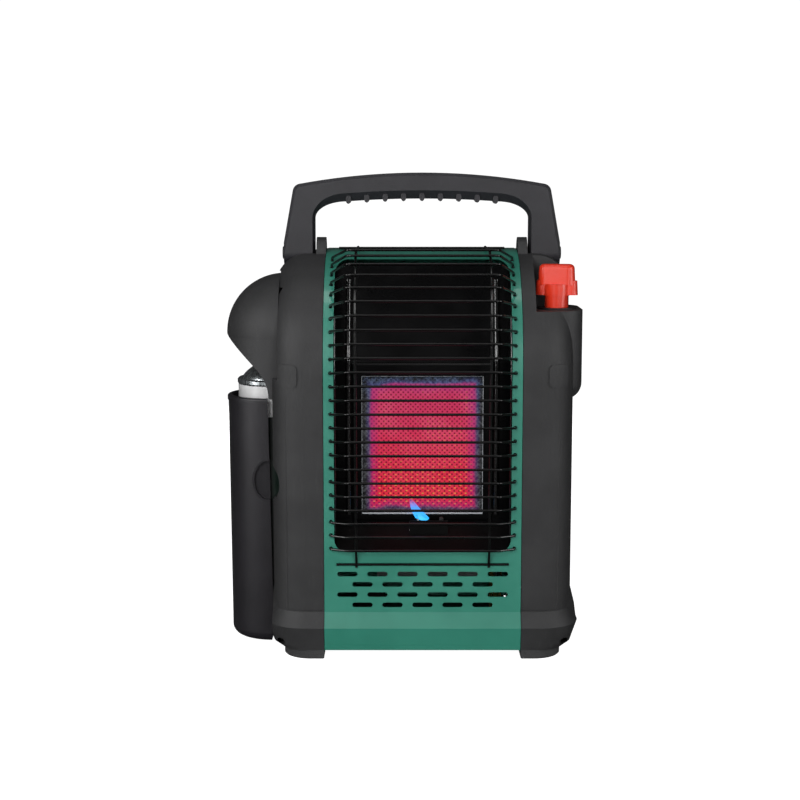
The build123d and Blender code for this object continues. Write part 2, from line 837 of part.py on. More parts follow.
# ---------------------------------------------------------------- end caps
cap_outer = cap_form(0.0)
cap_inner = cap_form(cap_wall)
cap_plain = cap_form(0.0, with_belt=False)
field_edge_x = body_half_width - 14.0
field_low_z = belt_high_z + 1.0
field_high_z = core_top_z - 126.0
field_depth = 1.3
field_fade = 30.0
field_wall_slope = 2.5
field_corner = 9.0
pad_x = body_half_width - 15.6
pad_width = 18.5
pad_low_z = field_high_z + 4.0
pad_high_z = field_high_z + 25.0
pad_corner = 5.0
pad_height = 1.4
pad_depth = 24.0


def face_field():
    """The shallow recess in a cap's front face, on the +X side; it grows shallow to its top."""
    skin_turn = sqrt(cap_corner**2 - (field_edge_x - body_half_width + cap_corner) ** 2)
    edge_y = -body_half_depth + cap_corner - skin_turn
    slope = field_wall_slope / field_depth
    deep_y = edge_y + 4 * field_depth
    inner_x = core_half_width
    with BuildPart() as region:
        with BuildSketch(Plane.XY.offset(field_low_z)):
            with BuildLine():
                Polyline(
                    (inner_x, -body_half_depth - wall_bite),
                    (field_edge_x + slope * (edge_y + body_half_depth + wall_bite),
                     -body_half_depth - wall_bite),
                    (field_edge_x - slope * (deep_y - edge_y), deep_y),
                    (inner_x, deep_y),
                    close=True,
                )
            make_face()
        extrude(amount=field_high_z - field_low_z)
        with BuildSketch(Plane.XZ.offset(-deep_y)) as face_outline:
            with Locations(((inner_x + field_edge_x) / 2, (field_low_z + field_high_z) / 2)):
                Rectangle(field_edge_x - inner_x, field_high_z - field_low_z)
            corner = face_outline.vertices().sort_by(Axis.X)[-2:].sort_by(Axis.Z)[0]
            fillet(corner, radius=field_corner)
        extrude(amount=body_half_depth + wall_bite + deep_y, mode=Mode.INTERSECT)
        fade_z = field_high_z + field_fade
        tilt = degrees(atan(field_depth / (fade_z - field_low_z)))
        hinge_line = Axis((0, -body_half_depth, fade_z), (1, 0, 0))
        add(cap_plain.rotate(hinge_line, tilt), mode=Mode.SUBTRACT)
    return region.part


def face_pad():
    """The raised pad on a cap's front corner, above the recess."""
    with BuildPart() as pad:
        with BuildSketch(Plane.XZ.offset(body_half_depth - pad_depth)):
            with Locations((pad_x, (pad_low_z + pad_high_z) / 2)):
                RectangleRounded(pad_width, pad_high_z - pad_low_z, pad_corner)
        extrude(amount=pad_depth + wall_bite)
        add(cap_form(-pad_height, with_belt=False), mode=Mode.INTERSECT)
        add(cap_inner, mode=Mode.SUBTRACT)
    return pad.part


def handle_ear():
    """The rounded lug on a cap that carries one handle pivot, on the +X side."""
    inner_x = core_half_width + cap_gap
    with BuildPart() as lug:
        with BuildSketch(Plane.YZ.offset(inner_x)):
            with Locations((pivot_y, pivot_z)):
                Circle(ear_radius)
            with Locations((pivot_y, (pivot_z + ear_root_z) / 2)):
                Rectangle(2 * ear_radius, pivot_z - ear_root_z)
        extrude(amount=ear_width)
    return lug.part


def handle_pocket(grow):
    """Room for a folded handle leg, behind the pivot, on the +X side."""
    inner_x = core_half_width + cap_gap + ear_width
    return block(
        (inner_x - grow, pocket_front_y - grow, pocket_z - grow),
        (far, far, far),
    )


def screw_post():
    """The boss round a corner screw, on the +X side."""
    with BuildPart() as boss:
        with BuildSketch(Plane.XZ.offset(body_half_depth - screw_depth - 2 * cap_wall)):
            with Locations((screw_x, screw_z)):
                Circle(screw_head_radius + cap_wall)
        extrude(amount=far)
        add(cap_outer, mode=Mode.INTERSECT)
    return boss.part


def screw_bore():
    """The recess over a corner screw, on the +X side."""
    with BuildPart() as recess:
        with BuildSketch(Plane.XZ.offset(body_half_depth - screw_depth)):
            with Locations((screw_x, screw_z)):
                Circle(screw_head_radius + lap)
        extrude(amount=far)
    return recess.part


with BuildPart() as pivot_bores:
    with BuildSketch(Plane.YZ.offset(-far)):
        with Locations((pivot_y, pivot_z)):
            Circle(pivot_radius)
    extrude(amount=2 * far)
pivot_bore = pivot_bores.part


def valve_box(inset):
    """The bulge on the right cap that houses the gas valve."""
    low_x = core_half_width + wall_bite
    high_x = valve_box_half_width - inset
    low_y = valve_box_front_y + inset
    high_y = valve_box_back_y - inset
    low_z = valve_box_low_z + inset
    with BuildPart() as box:
        with BuildSketch(Plane.XY.offset(low_z)):
            with Locations(((low_x + high_x) / 2, (low_y + high_y) / 2)):
                Rectangle(high_x - low_x, high_y - low_y)
        extrude(amount=shelf_z - inset - low_z)
        outer_edges = box.edges().filter_by(Axis.Z).group_by(Axis.X)[-1]
        fillet(outer_edges, radius=valve_box_corner - inset)
        heel_edges = box.faces().sort_by(Axis.Z)[0].edges().sort_by(Axis.X)[-3:]
        fillet(heel_edges, radius=valve_box_heel - inset)
    return box.part


def knob_notch(grow):
    """The corner cut away over the valve box, where the knob stands."""
    return block(
        (notch_x - grow, -far, shelf_z - grow),
        (far, notch_back_y + grow, far),
    )


cap_vent_length = 18.0
cap_vent_width = 3.5
cap_vent_pitch = 9.0
cap_vent_rows = 6
cap_vent_mid_z = 110.0


def vent_slots():
    """Cooling slots through a cap's rear face, on the +X side."""
    with BuildPart() as slots:
        with BuildSketch(Plane.XZ.offset(-body_half_depth + cap_corner)):
            with Locations((body_half_width - 20.0, cap_vent_mid_z)):
                with GridLocations(1, cap_vent_pitch, 1, cap_vent_rows):
                    SlotOverall(cap_vent_length, cap_vent_width)
        extrude(amount=-cap_corner - wall_bite)
    return slots.part


ear = handle_ear()
field = face_field()
pad = face_pad()
post = screw_post()
bore = screw_bore()
vents = vent_slots()
print("cap pieces done", len(field.solids()), len(pad.solids()))

knob_bore = upright_cylinder(
    knob_x, knob_y, shelf_z - 2 * cap_wall, shelf_z + cap_wall, knob_stem_radius + pipe_room
)

with BuildPart() as right_solid:
    add(cap_outer)
    add(valve_box(0.0))
    add(knob_notch(0.0), mode=Mode.SUBTRACT)
    add(handle_pocket(0.0), mode=Mode.SUBTRACT)

with BuildPart() as right_hollow:
    add(cap_inner)
    add(valve_box(cap_wall))
    add(knob_notch(cap_wall), mode=Mode.SUBTRACT)
    add(handle_pocket(cap_wall), mode=Mode.SUBTRACT)

with BuildPart() as right_housing:
    add(right_solid.part)
    add(right_hollow.part, mode=Mode.SUBTRACT)
    add(pad)
    add(ear)
    add(post)
    add(field, mode=Mode.SUBTRACT)
    add(bore, mode=Mode.SUBTRACT)
    add(vents, mode=Mode.SUBTRACT)
    add(knob_bore, mode=Mode.SUBTRACT)
    add(pivot_bore, mode=Mode.SUBTRACT)
print("right housing", [round(s.volume) for s in right_housing.solids()])
save(right_housing.part, "right_housing")


def bay_room(grow):
    """The cartridge's bay and the room over it for the regulator, on the -X side."""
    with BuildPart() as room:
        add(upright_cylinder(can_x, can_y, bay_floor_z - grow, bay_top_z + grow, bay_radius + grow))
        add(
            block(
                (-far, -body_half_depth + hood_room_front, hood_seam_low_z - grow),
                (hood_x + grow, hood_room_back_y + grow, hood_seam_high_z + grow),
            )
        )
    return room.part


with BuildPart() as finger_room:
    with BuildSketch(Plane.XZ.offset(-can_y + finger_depth)):
        with Locations((finger_x, finger_z)):
            Ellipse(finger_half_width, finger_half_height)
    extrude(amount=far)

knuckle_mid_z = knuckle_low_z + knuckle_step + knuckle_length / 2
door_side = block((-far, -far, -far), (door_side_x, far, far))

left_outer = cap_outer.mirror(Plane.YZ)
with BuildPart() as left_hollow:
    add(cap_inner.mirror(Plane.YZ))
    add(handle_pocket(cap_wall).mirror(Plane.YZ), mode=Mode.SUBTRACT)
    add(bay_room(cap_wall), mode=Mode.SUBTRACT)
    add(block((-far, -far, -far), (door_side_x + cap_wall, far, far)), mode=Mode.SUBTRACT)

with BuildPart() as left_housing:
    add(left_outer)
    add(handle_pocket(0.0).mirror(Plane.YZ), mode=Mode.SUBTRACT)
    add(bay_room(0.0), mode=Mode.SUBTRACT)
    add(left_hollow.part, mode=Mode.SUBTRACT)
    add(pad.mirror(Plane.YZ))
    add(ear.mirror(Plane.YZ))
    add(post.mirror(Plane.YZ))
    add(field.mirror(Plane.YZ), mode=Mode.SUBTRACT)
    add(bore.mirror(Plane.YZ), mode=Mode.SUBTRACT)
    add(vents.mirror(Plane.YZ), mode=Mode.SUBTRACT)
    add(door_side, mode=Mode.SUBTRACT)
    add(finger_room.part, mode=Mode.SUBTRACT)
    add(pivot_bore, mode=Mode.SUBTRACT)
    add(capsule(supply_route, pipe_radius), mode=Mode.SUBTRACT)
    with BuildSketch(Plane.XY.offset(knuckle_low_z + knuckle_step)):
        with Locations(((door_hinge_x + door_side_x + wall_bite) / 2, door_hinge_y)):
            Rectangle(door_side_x + wall_bite - door_hinge_x, 1.6 * knuckle_radius)
        with Locations((door_hinge_x, door_hinge_y)):
            Circle(knuckle_radius)
            Circle(hinge_pin_radius, mode=Mode.SUBTRACT)
    extrude(amount=knuckle_length)
print("left housing", [round(s.volume) for s in left_housing.solids()])
save(left_housing.part, "left_housing")


# ---------------------------------------------------------------- regulator hood
def hood_form(inset):
    """The dome over the regulator as one solid, drawn in by inset: an arched top on a skirt."""
    reach = hood_reach - inset
    crown = hood_crown_radius - inset
    arc_centre = (hood_x + hood_crown_offset, hood_centre_z)
    top = (hood_x, hood_centre_z + sqrt(crown**2 - hood_crown_offset**2))
    rim = (arc_centre[0] - crown, hood_centre_z)
    swollen = crown + hood_crown_swell
    mid = (arc_centre[0] - swollen * sin(radians(45)), hood_centre_z + swollen * cos(radians(45)))
    with BuildPart() as form:
        with BuildSketch(Plane.XZ.offset(-can_y)):
            with BuildLine():
                Polyline(top, (hood_x, hood_low_z), (hood_x - reach, hood_low_z), rim)
                ThreePointArc(rim, mid, top)
            make_face()
        revolve(axis=Axis((hood_x, can_y, 0), (0, 0, 1)), revolution_arc=360)
        add(block((hood_x, -far, -far), (far, far, far)), mode=Mode.SUBTRACT)
    return form.part


hood_mouth_foot = (can_x - 13.6, can_neck_z - 0.8)
hood_mouth_mid = (can_x - 4.0, can_neck_z - 13.6)
hood_mouth_tip = (can_x - 0.4, hood_low_z)
hood_mouth_slope = (29.0, -29.0)
with BuildPart() as hood_outline:
    with BuildSketch(Plane.XZ):
        with BuildLine():
            Polyline(
                (hood_x, hood_low_z),
                (hood_x, far),
                (-far, far),
                (-far, hood_centre_z + 2.8),
                (hood_x - hood_reach - 0.5, hood_centre_z + 2.8),
                hood_mouth_foot,
            )
            Spline(
                hood_mouth_foot,
                hood_mouth_mid,
                hood_mouth_tip,
                tangents=[hood_mouth_slope, (0, -1)],
            )
            Line(hood_mouth_tip, (hood_x, hood_low_z))
        make_face()
    extrude(amount=far, both=True)

with BuildPart() as regulator_hood:
    add(hood_form(0.0))
    add(hood_form(hood_wall), mode=Mode.SUBTRACT)
    add(hood_outline.part, mode=Mode.INTERSECT)
    add(left_housing.part, mode=Mode.SUBTRACT)
    shell = regulator_hood.solids().sort_by(SortBy.VOLUME)[-1]
    add(shell, mode=Mode.INTERSECT)
print("hood", [round(s.volume) for s in regulator_hood.solids()])
save(regulator_hood.part, "regulator_hood")

# ---------------------------------------------------------------- cartridge
can_edge_x = can_x - can_radius
can_low_ring = 3.0
can_side_high_z = can_seam_z - 4.0
neck_radius = 10.0
valve_bore = 2.5

with BuildPart() as cartridge_can:
    with BuildSketch(Plane.XZ.offset(-can_y)):
        with BuildLine():
            Polyline(
                (can_x, can_low_z + 2 * can_low_ring),
                (can_edge_x + 7, can_low_z + 2),
                (can_edge_x + 4, can_low_z),
                (can_edge_x, can_low_z + can_low_ring),
                (can_edge_x, can_side_high_z),
                (can_edge_x + can_wall, can_side_high_z),
                (can_edge_x + can_wall, can_low_z + 5),
                (can_edge_x + 7, can_low_z + 3),
                (can_x, can_low_z + 2 * can_low_ring + 1),
                close=True,
            )
        make_face()
    revolve(axis=Axis((can_x, can_y, 0), (0, 0, 1)))
save(cartridge_can.part, "cartridge_can")

with BuildPart() as cartridge_shoulder:
    with BuildSketch(Plane.XZ.offset(-can_y)):
        with BuildLine():
            Polyline(
                (can_edge_x, can_side_high_z),
                (can_edge_x - 0.8, can_side_high_z + 1.5),
                (can_edge_x - 0.8, can_seam_z + 0.5),
                (can_edge_x + 0.8, can_seam_z + 2),
                (can_edge_x + 3, can_seam_z),
            )
            Spline(
                (can_edge_x + 3, can_seam_z),
                (can_edge_x + 11, can_seam_z + 10),
                (can_x - neck_radius, can_neck_z),
                tangents=[(0.3, 1), (1, 0.3)],
            )
            Polyline(
                (can_x - neck_radius, can_neck_z),
                (can_x - neck_radius, can_neck_z - 1),
                (can_edge_x + 12, can_seam_z + 8),
                (can_edge_x + 4, can_side_high_z),
                (can_edge_x, can_side_high_z),
            )
        make_face()
    revolve(axis=Axis((can_x, can_y, 0), (0, 0, 1)))
save(cartridge_shoulder.part, "cartridge_shoulder")

with BuildPart() as cartridge_valve:
    with BuildSketch(Plane.XZ.offset(-can_y)):
        with BuildLine():
            Polyline(
                (can_x, can_neck_z - 6),
                (can_x - 7, can_neck_z - 6),
                (can_x - 7, can_neck_z - 1),
                (can_x - neck_radius, can_neck_z - 1),
                (can_x - neck_radius, can_neck_z),
                (can_x - neck_radius, can_neck_z + 2),
                (can_x - can_tip_radius, can_neck_z + 3),
                (can_x - can_tip_radius, can_tip_z),
                (can_x - valve_bore, can_tip_z),
                (can_x - valve_bore, can_tip_z - 5),
                (can_x, can_tip_z - 5),
                close=True,
            )
        make_face()
    revolve(axis=Axis((can_x, can_y, 0), (0, 0, 1)))
save(cartridge_valve.part, "cartridge_valve")

# ---------------------------------------------------------------- regulator
socket_z = can_neck_z + 4.5
socket_radius = 11.0
socket_rim = 6.0
socket_seat = 0.15
regulator_height = 16.0
regulator_rim = 3.0
regulator_rim_z = regulator_z + regulator_height
regulator_cap_z = regulator_rim_z + regulator_rim
regulator_cap_radius = 15.0
regulator_top_z = regulator_cap_z + regulator_height

with BuildPart() as cartridge_socket:
    add(upright_cylinder(can_x, can_y, socket_z, regulator_z, socket_radius))
    add(upright_cylinder(can_x, can_y, regulator_z - socket_rim, regulator_z, socket_radius + 3))
    socket_bore = upright_cylinder(
        can_x, can_y, socket_z - 1, can_tip_z + 4 * socket_seat, can_tip_radius + socket_seat
    )
    add(socket_bore, mode=Mode.SUBTRACT)
    add(upright_cylinder(can_x, can_y, can_tip_z, regulator_z + 1, 1.5), mode=Mode.SUBTRACT)
save(cartridge_socket.part, "cartridge_socket")

with BuildPart() as regulator_body:
    add(upright_cylinder(can_x, can_y, regulator_z, regulator_rim_z, regulator_radius))
    add(upright_cylinder(can_x, can_y, regulator_rim_z, regulator_cap_z, regulator_rim_radius))
    with BuildSketch(Plane.XZ.offset(-outlet_y)):
        with Locations((outlet_x, outlet_z)):
            Circle(outlet_radius)
    extrude(amount=outlet_y - can_y)
    with BuildSketch(Plane.XZ.offset(-outlet_y)):
        with Locations((outlet_x, outlet_z)):
            Circle(pipe_radius - pipe_wall)
    extrude(amount=outlet_y - can_y, mode=Mode.SUBTRACT)
    chamber = upright_cylinder(can_x, can_y, regulator_z + 4, regulator_rim_z, 12.0)
    add(chamber, mode=Mode.SUBTRACT)
save(regulator_body.part, "regulator_body")

with BuildPart() as regulator_cap:
    add(
        upright_cylinder(
            can_x, can_y, regulator_cap_z, regulator_cap_z + regulator_rim, regulator_rim_radius
        )
    )
    add(upright_cylinder(can_x, can_y, regulator_cap_z, regulator_top_z, regulator_cap_radius))
    fillet(regulator_cap.edges().sort_by(Axis.Z)[-1], radius=3.0)
save(regulator_cap.part, "regulator_cap")

# ---------------------------------------------------------------- pipes
with BuildPart() as supply_tube:
    add(tube_along(supply_route, pipe_bend, pipe_radius, pipe_radius - pipe_wall))
save(supply_tube.part, "supply_tube")

with BuildPart() as burner_tube:
    add(tube_along(burner_route, pipe_bend, pipe_radius, pipe_radius - pipe_wall))
save(burner_tube.part, "burner_tube")

with BuildPart() as pilot_tube:
    add(tube_along(pilot_route, pipe_bend, pilot_pipe_radius))
save(pilot_tube.part, "pilot_tube")

jet_block_radius = 6.0
jet_block_length = 7.0
jet_nozzle_radius = 3.2
jet_foot_half = 10.0
jet_back_y = mixing_y + jet_block_length
jet_foot_z = floor_z + plate
with BuildPart() as jet_holder:
    with BuildSketch(Plane.XZ.offset(-mixing_y)):
        with Locations((jet_x, jet_z)):
            Circle(jet_block_radius)
    extrude(amount=-jet_block_length)
    with BuildSketch(Plane.YZ.offset(jet_x - 2 * jet_block_radius)):
        with Locations((mixing_y + jet_block_length / 2, jet_z)):
            Circle(jet_nozzle_radius)
    extrude(amount=8)
    jet_stand = block(
        (jet_x - jet_block_radius, jet_back_y, jet_foot_z),
        (jet_x + jet_block_radius, jet_back_y + 2 * plate, jet_z + jet_block_radius),
    )
    add(jet_stand)
    jet_foot = block(
        (jet_x - jet_foot_half, mixing_y - 6, jet_foot_z),
        (jet_x + jet_foot_half, jet_back_y, jet_foot_z + plate),
    )
    add(jet_foot)
save(jet_holder.part, "jet_holder")

# ---------------------------------------------------------------- pilot group
pilot_nozzle_radius = 3.2
pilot_nozzle_low_z = pilot_z - 2.0
pilot_nozzle_high_z = pilot_z + 16.0
pilot_shelf_z = pilot_z + plate
probe_radius = 2.2
spark_radius = 2.6
wire_tip_radius = 0.9

with BuildPart() as pilot_bracket:
    add(
        block(
            (pilot_left_x, pilot_front_y, pilot_z),
            (pilot_right_x, pilot_front_y + plate, pilot_top_z),
        )
    )
    add(block((pilot_left_x, pilot_front_y, pilot_z), (pilot_right_x, hearth_y, pilot_shelf_z)))
    pilot_port = upright_cylinder(
        pilot_x, pilot_y, pilot_z - plate, pilot_shelf_z + plate, pilot_nozzle_radius
    )
    add(pilot_port, mode=Mode.SUBTRACT)
save(pilot_bracket.part, "pilot_bracket")

with BuildPart() as pilot_nozzle:
    add(
        upright_cylinder(
            pilot_x, pilot_y, pilot_nozzle_low_z, pilot_nozzle_high_z, pilot_nozzle_radius
        )
    )
    pilot_seat = upright_cylinder(
        pilot_x, pilot_y, pilot_nozzle_low_z - plate, pilot_z + 4.0, pilot_pipe_radius
    )
    add(pilot_seat, mode=Mode.SUBTRACT)
    pilot_mouth = upright_cylinder(
        pilot_x, pilot_y, pilot_nozzle_high_z - 8.0, pilot_nozzle_high_z + plate, 2.0
    )
    add(pilot_mouth, mode=Mode.SUBTRACT)
save(pilot_nozzle.part, "pilot_nozzle")

probe_high_z = pilot_top_z + 2.0
with BuildPart() as thermocouple:
    add(upright_cylinder(pilot_x + 9.0, pilot_y, pilot_shelf_z, probe_high_z, probe_radius))
    fillet(thermocouple.edges().sort_by(Axis.Z)[-1], radius=0.7 * probe_radius)
save(thermocouple.part, "thermocouple")

spark_x = pilot_x - 13.0
spark_shoulder_z = pilot_z + 14.0
with BuildPart() as spark_electrode:
    add(upright_cylinder(spark_x, pilot_y, pilot_shelf_z, spark_shoulder_z, spark_radius))
    add(upright_cylinder(spark_x, pilot_y, spark_shoulder_z, spark_shoulder_z + 7, wire_tip_radius))
save(spark_electrode.part, "spark_electrode")

# ---------------------------------------------------------------- valve, knob and igniter
half_valve = valve_size / 2
valve_neck = 8.0
valve_neck_radius = 11.0
valve_chamfer = 3.0
with BuildPart() as valve_body:
    add(
        block(
            (knob_x - half_valve, knob_y - half_valve, valve_low_z),
            (knob_x + half_valve, knob_y + half_valve, valve_high_z - valve_neck),
        )
    )
    chamfer(valve_body.edges().filter_by(Axis.Z), length=valve_chamfer)
    add(
        upright_cylinder(
            knob_x, knob_y, valve_high_z - valve_neck, valve_high_z, valve_neck_radius
        )
    )
    plug_bore = upright_cylinder(
        knob_x, knob_y, plug_low_z, valve_high_z + plate, plug_radius + running_gap
    )
    add(plug_bore, mode=Mode.SUBTRACT)
    gas_way = upright_cylinder(
        knob_x, knob_y, valve_low_z - plate, plug_low_z, pipe_radius - pipe_wall
    )
    add(gas_way, mode=Mode.SUBTRACT)
    pilot_tap = block(
        (knob_x - half_valve - 2, knob_y - half_valve - 2, plug_low_z - 2.5),
        (knob_x - half_valve + 6, knob_y - half_valve + 4, plug_low_z + 2.5),
    )
    add(pilot_tap, mode=Mode.SUBTRACT)
save(valve_body.part, "valve_body")

with BuildPart() as valve_plug:
    add(upright_cylinder(knob_x, knob_y, plug_low_z + end_float, valve_high_z, plug_radius))
    spindle_bore = upright_cylinder(
        knob_x, knob_y, spindle_low_z - 0.5, valve_high_z + plate, spindle_radius + running_gap
    )
    add(spindle_bore, mode=Mode.SUBTRACT)
save(valve_plug.part, "valve_plug")

spindle_foot_z = spindle_low_z + knob_travel + 1.5
with BuildPart() as valve_spindle:
    add(upright_cylinder(knob_x, knob_y, spindle_foot_z, spindle_high_z, spindle_radius))
save(valve_spindle.part, "valve_spindle")

with BuildPart() as control_knob:
    add(upright_cylinder(knob_x, knob_y, knob_foot_z, knob_collar_low_z, knob_stem_radius))
    add(
        upright_cylinder(
            knob_x, knob_y, knob_collar_low_z, knob_collar_high_z, knob_collar_radius
        )
    )
    with BuildSketch(Plane.XY.offset(knob_collar_low_z + 0.5)):
        with Locations(Location((knob_x, knob_y), knob_wing_turn)):
            SlotOverall(knob_flange_length, knob_flange_width)
    extrude(amount=knob_flange_height, taper=3)
    with BuildSketch(Plane.XY.offset(knob_collar_high_z - 1)):
        with Locations(Location((knob_x, knob_y), knob_wing_turn)):
            SlotOverall(knob_wing_length, knob_wing_width)
    extrude(amount=knob_top_z - knob_collar_high_z + 1, taper=3)
    fillet(control_knob.faces().sort_by(Axis.Z)[-1].edges(), radius=knob_wing_edge)
    add(
        upright_cylinder(knob_x, knob_y, knob_foot_z - plate, spindle_high_z, spindle_radius),
        mode=Mode.SUBTRACT,
    )
print("knob", [round(s.volume) for s in control_knob.solids()])
save(control_knob.part, "control_knob")

spring_wire = 0.6
spring_gap = 0.1
spring_low_z = valve_high_z + spring_wire + spring_gap
spring_high_z = yoke_z - spring_wire - spring_gap
with BuildPart() as knob_spring:
    with BuildLine() as coil:
        Helix(
            pitch=4 * spring_wire,
            height=spring_high_z - spring_low_z,
            radius=spindle_radius + 1.4,
            center=(knob_x, knob_y, spring_low_z),
        )
    with BuildSketch(Plane(origin=coil.line @ 0, z_dir=coil.line % 0)):
        Circle(spring_wire)
    sweep(path=coil.line, is_frenet=True)
save(knob_spring.part, "knob_spring")

with BuildPart() as push_yoke:
    with BuildSketch(Plane.XY.offset(yoke_z)):
        with Locations((knob_x, (knob_y + igniter_y) / 2)):
            SlotCenterToCenter(igniter_y - knob_y, yoke_width, rotation=90)
        with Locations((knob_x, knob_y)):
            Circle(spindle_radius + running_gap, mode=Mode.SUBTRACT)
    extrude(amount=yoke_thickness)
save(push_yoke.part, "push_yoke")

igniter_high_z = valve_high_z - 2.0
igniter_low_z = igniter_high_z - 52.0
plunger_well_z = igniter_high_z - 16.0
with BuildPart() as igniter_body:
    add(upright_cylinder(knob_x, igniter_y, igniter_low_z, igniter_high_z, igniter_radius))
    plunger_well = upright_cylinder(
        knob_x, igniter_y, plunger_well_z, igniter_high_z + plate, plunger_radius + running_gap
    )
    add(plunger_well, mode=Mode.SUBTRACT)
    add(
        block(
            (knob_x - 11, igniter_y + igniter_radius - 0.5, igniter_low_z + 14),
            (knob_x + 11, valve_box_back_y - cap_wall, plunger_well_z + 1),
        )
    )
save(igniter_body.part, "igniter_body")

with BuildPart() as igniter_plunger:
    add(
        upright_cylinder(
            knob_x, igniter_y, plunger_well_z + knob_travel + 1, yoke_z, plunger_radius
        )
    )
save(igniter_plunger.part, "igniter_plunger")

dial_radius = 18.5
dial_bore = knob_stem_radius + 1.2
dial_height = 1.5
with BuildPart() as dial_ring:
    with BuildSketch(Plane.XY.offset(shelf_z)):
        with Locations((knob_x, knob_y)):
            Circle(dial_radius)
            Circle(dial_bore, mode=Mode.SUBTRACT)
    extrude(amount=dial_height)
save(dial_ring.part, "dial_ring")

switch_x = -51.0
switch_y = 43.0
with BuildPart() as tilt_switch:
    with BuildSketch(Plane.XY.offset(floor_z + plate)):
        with Locations((switch_x, switch_y)):
            RectangleRounded(30.0, 26.0, 3.0)
    extrude(amount=22.0)
save(tilt_switch.part, "tilt_switch")

# ---------------------------------------------------------------- door
door_half = block((0, -far, -far), (far, far, far))


def door_form(inset, low_z, high_z):
    """The door's round outline as one upright solid, drawn in by inset, slightly narrower below."""
    rise = high_z - low_z
    low_radius = door_radius - door_draft - inset
    high_radius = door_radius - inset
    heel = door_heel - inset
    heel_centre = (can_x - low_radius + heel, low_z + heel)
    with BuildPart() as form:
        with BuildSketch(Plane.XZ.offset(-can_y)):
            with BuildLine():
                Line((can_x, low_z), (heel_centre[0], low_z))
                CenterArc(heel_centre, heel, 180, 90)
                Polyline(
                    (can_x - low_radius, low_z + heel),
                    (can_x - high_radius, low_z + rise),
                    (can_x, low_z + rise),
                    (can_x, low_z),
                )
            make_face()
        revolve(axis=Axis((can_x, can_y, 0), (0, 0, 1)))
    return form.part


with BuildPart() as door_limit:
    with BuildSketch(Plane.XZ):
        with BuildLine():
            Polyline(
                (door_foot_edge_x, door_low_z - plate),
                (door_low_edge_x, door_turn_z),
                (door_top_edge_x, door_high_z + plate),
                (-far, door_high_z + plate),
                (-far, door_low_z - plate),
                close=True,
            )
        make_face()
    extrude(amount=far, both=True)

cup_y = can_y - cup_reach
with BuildPart() as cartridge_door:
    add(door_form(0.0, door_low_z, door_high_z))
    rim_ring = upright_cylinder(
        can_x, can_y, door_high_z - door_rim_height, door_high_z, door_radius + door_rim
    )
    add(rim_ring)
    rim_edges = cartridge_door.faces().sort_by(Axis.Z)[-1].edges()
    fillet(rim_edges, radius=2.0)
    add(door_form(door_wall, door_low_z + door_wall, door_high_z + plate), mode=Mode.SUBTRACT)
    add(finger_room.part, mode=Mode.SUBTRACT)
    with BuildSketch(Plane.XZ.offset(-cup_y)):
        with Locations((finger_x, finger_z)):
            Ellipse(finger_half_width + 2, finger_half_height + 2)
    extrude(amount=-2)
    with BuildSketch(Plane.XZ.offset(-cup_y)):
        with Locations((finger_x, finger_z)):
            Ellipse(finger_half_width + 2, finger_half_height + 2)
            Ellipse(finger_half_width, finger_half_height, mode=Mode.SUBTRACT)
    extrude(amount=4)
    add(door_limit.part, mode=Mode.INTERSECT)
    arm_root_y = can_y + door_radius - door_wall
    for low_z in (knuckle_low_z, knuckle_low_z + 2 * knuckle_step):
        with BuildSketch(Plane.XY.offset(low_z)):
            with Locations((door_hinge_x, (door_hinge_y + arm_root_y) / 2)):
                Rectangle(2 * hinge_pin_radius, door_hinge_y - arm_root_y)
            with Locations((door_hinge_x, door_hinge_y)):
                Circle(knuckle_radius)
                Circle(hinge_pin_radius + running_gap, mode=Mode.SUBTRACT)
        extrude(amount=knuckle_length)
print("door", [round(s.volume) for s in cartridge_door.solids()])
save(cartridge_door.part, "cartridge_door")

pin_low_z = knuckle_low_z - 3.0
pin_high_z = knuckle_low_z + 2 * knuckle_step + knuckle_length + 3.0
with BuildPart() as door_hinge_pin:
    add(upright_cylinder(door_hinge_x, door_hinge_y, pin_low_z, pin_high_z, hinge_pin_radius))
save(door_hinge_pin.part, "door_hinge_pin")


# ---------------------------------------------------------------- handle
handle_foot_z = pivot_z - handle_half_depth
loop_flat = handle_leg_inner - loop_corner_width
handle_shoulder_x = handle_leg_outer - handle_corner_inset
handle_shoulder_z = handle_top_z - handle_corner_drop


def handle_loop(plane, widen, rise):
    """Front view of the handle's opening, with room added on its sides and at its top."""
    half = handle_leg_inner + widen
    corner_z = handle_under_z - grip_arch + rise
    corner_width = half - loop_flat
    corner_height = loop_corner_height + rise
    low_z = corner_z - corner_height
    with BuildSketch(plane) as outline:
        with BuildLine():
            ThreePointArc(
                (-loop_flat, corner_z), (0, corner_z + grip_arch), (loop_flat, corner_z)
            )
            EllipticalCenterArc(
                (loop_flat, low_z), corner_width, corner_height, start_angle=0, arc_size=90
            )
            Polyline((half, low_z), (half, -far), (-half, -far), (-half, low_z))
            EllipticalCenterArc(
                (-loop_flat, low_z), corner_width, corner_height, start_angle=90, arc_size=90
            )
        make_face()
    return outline.sketch


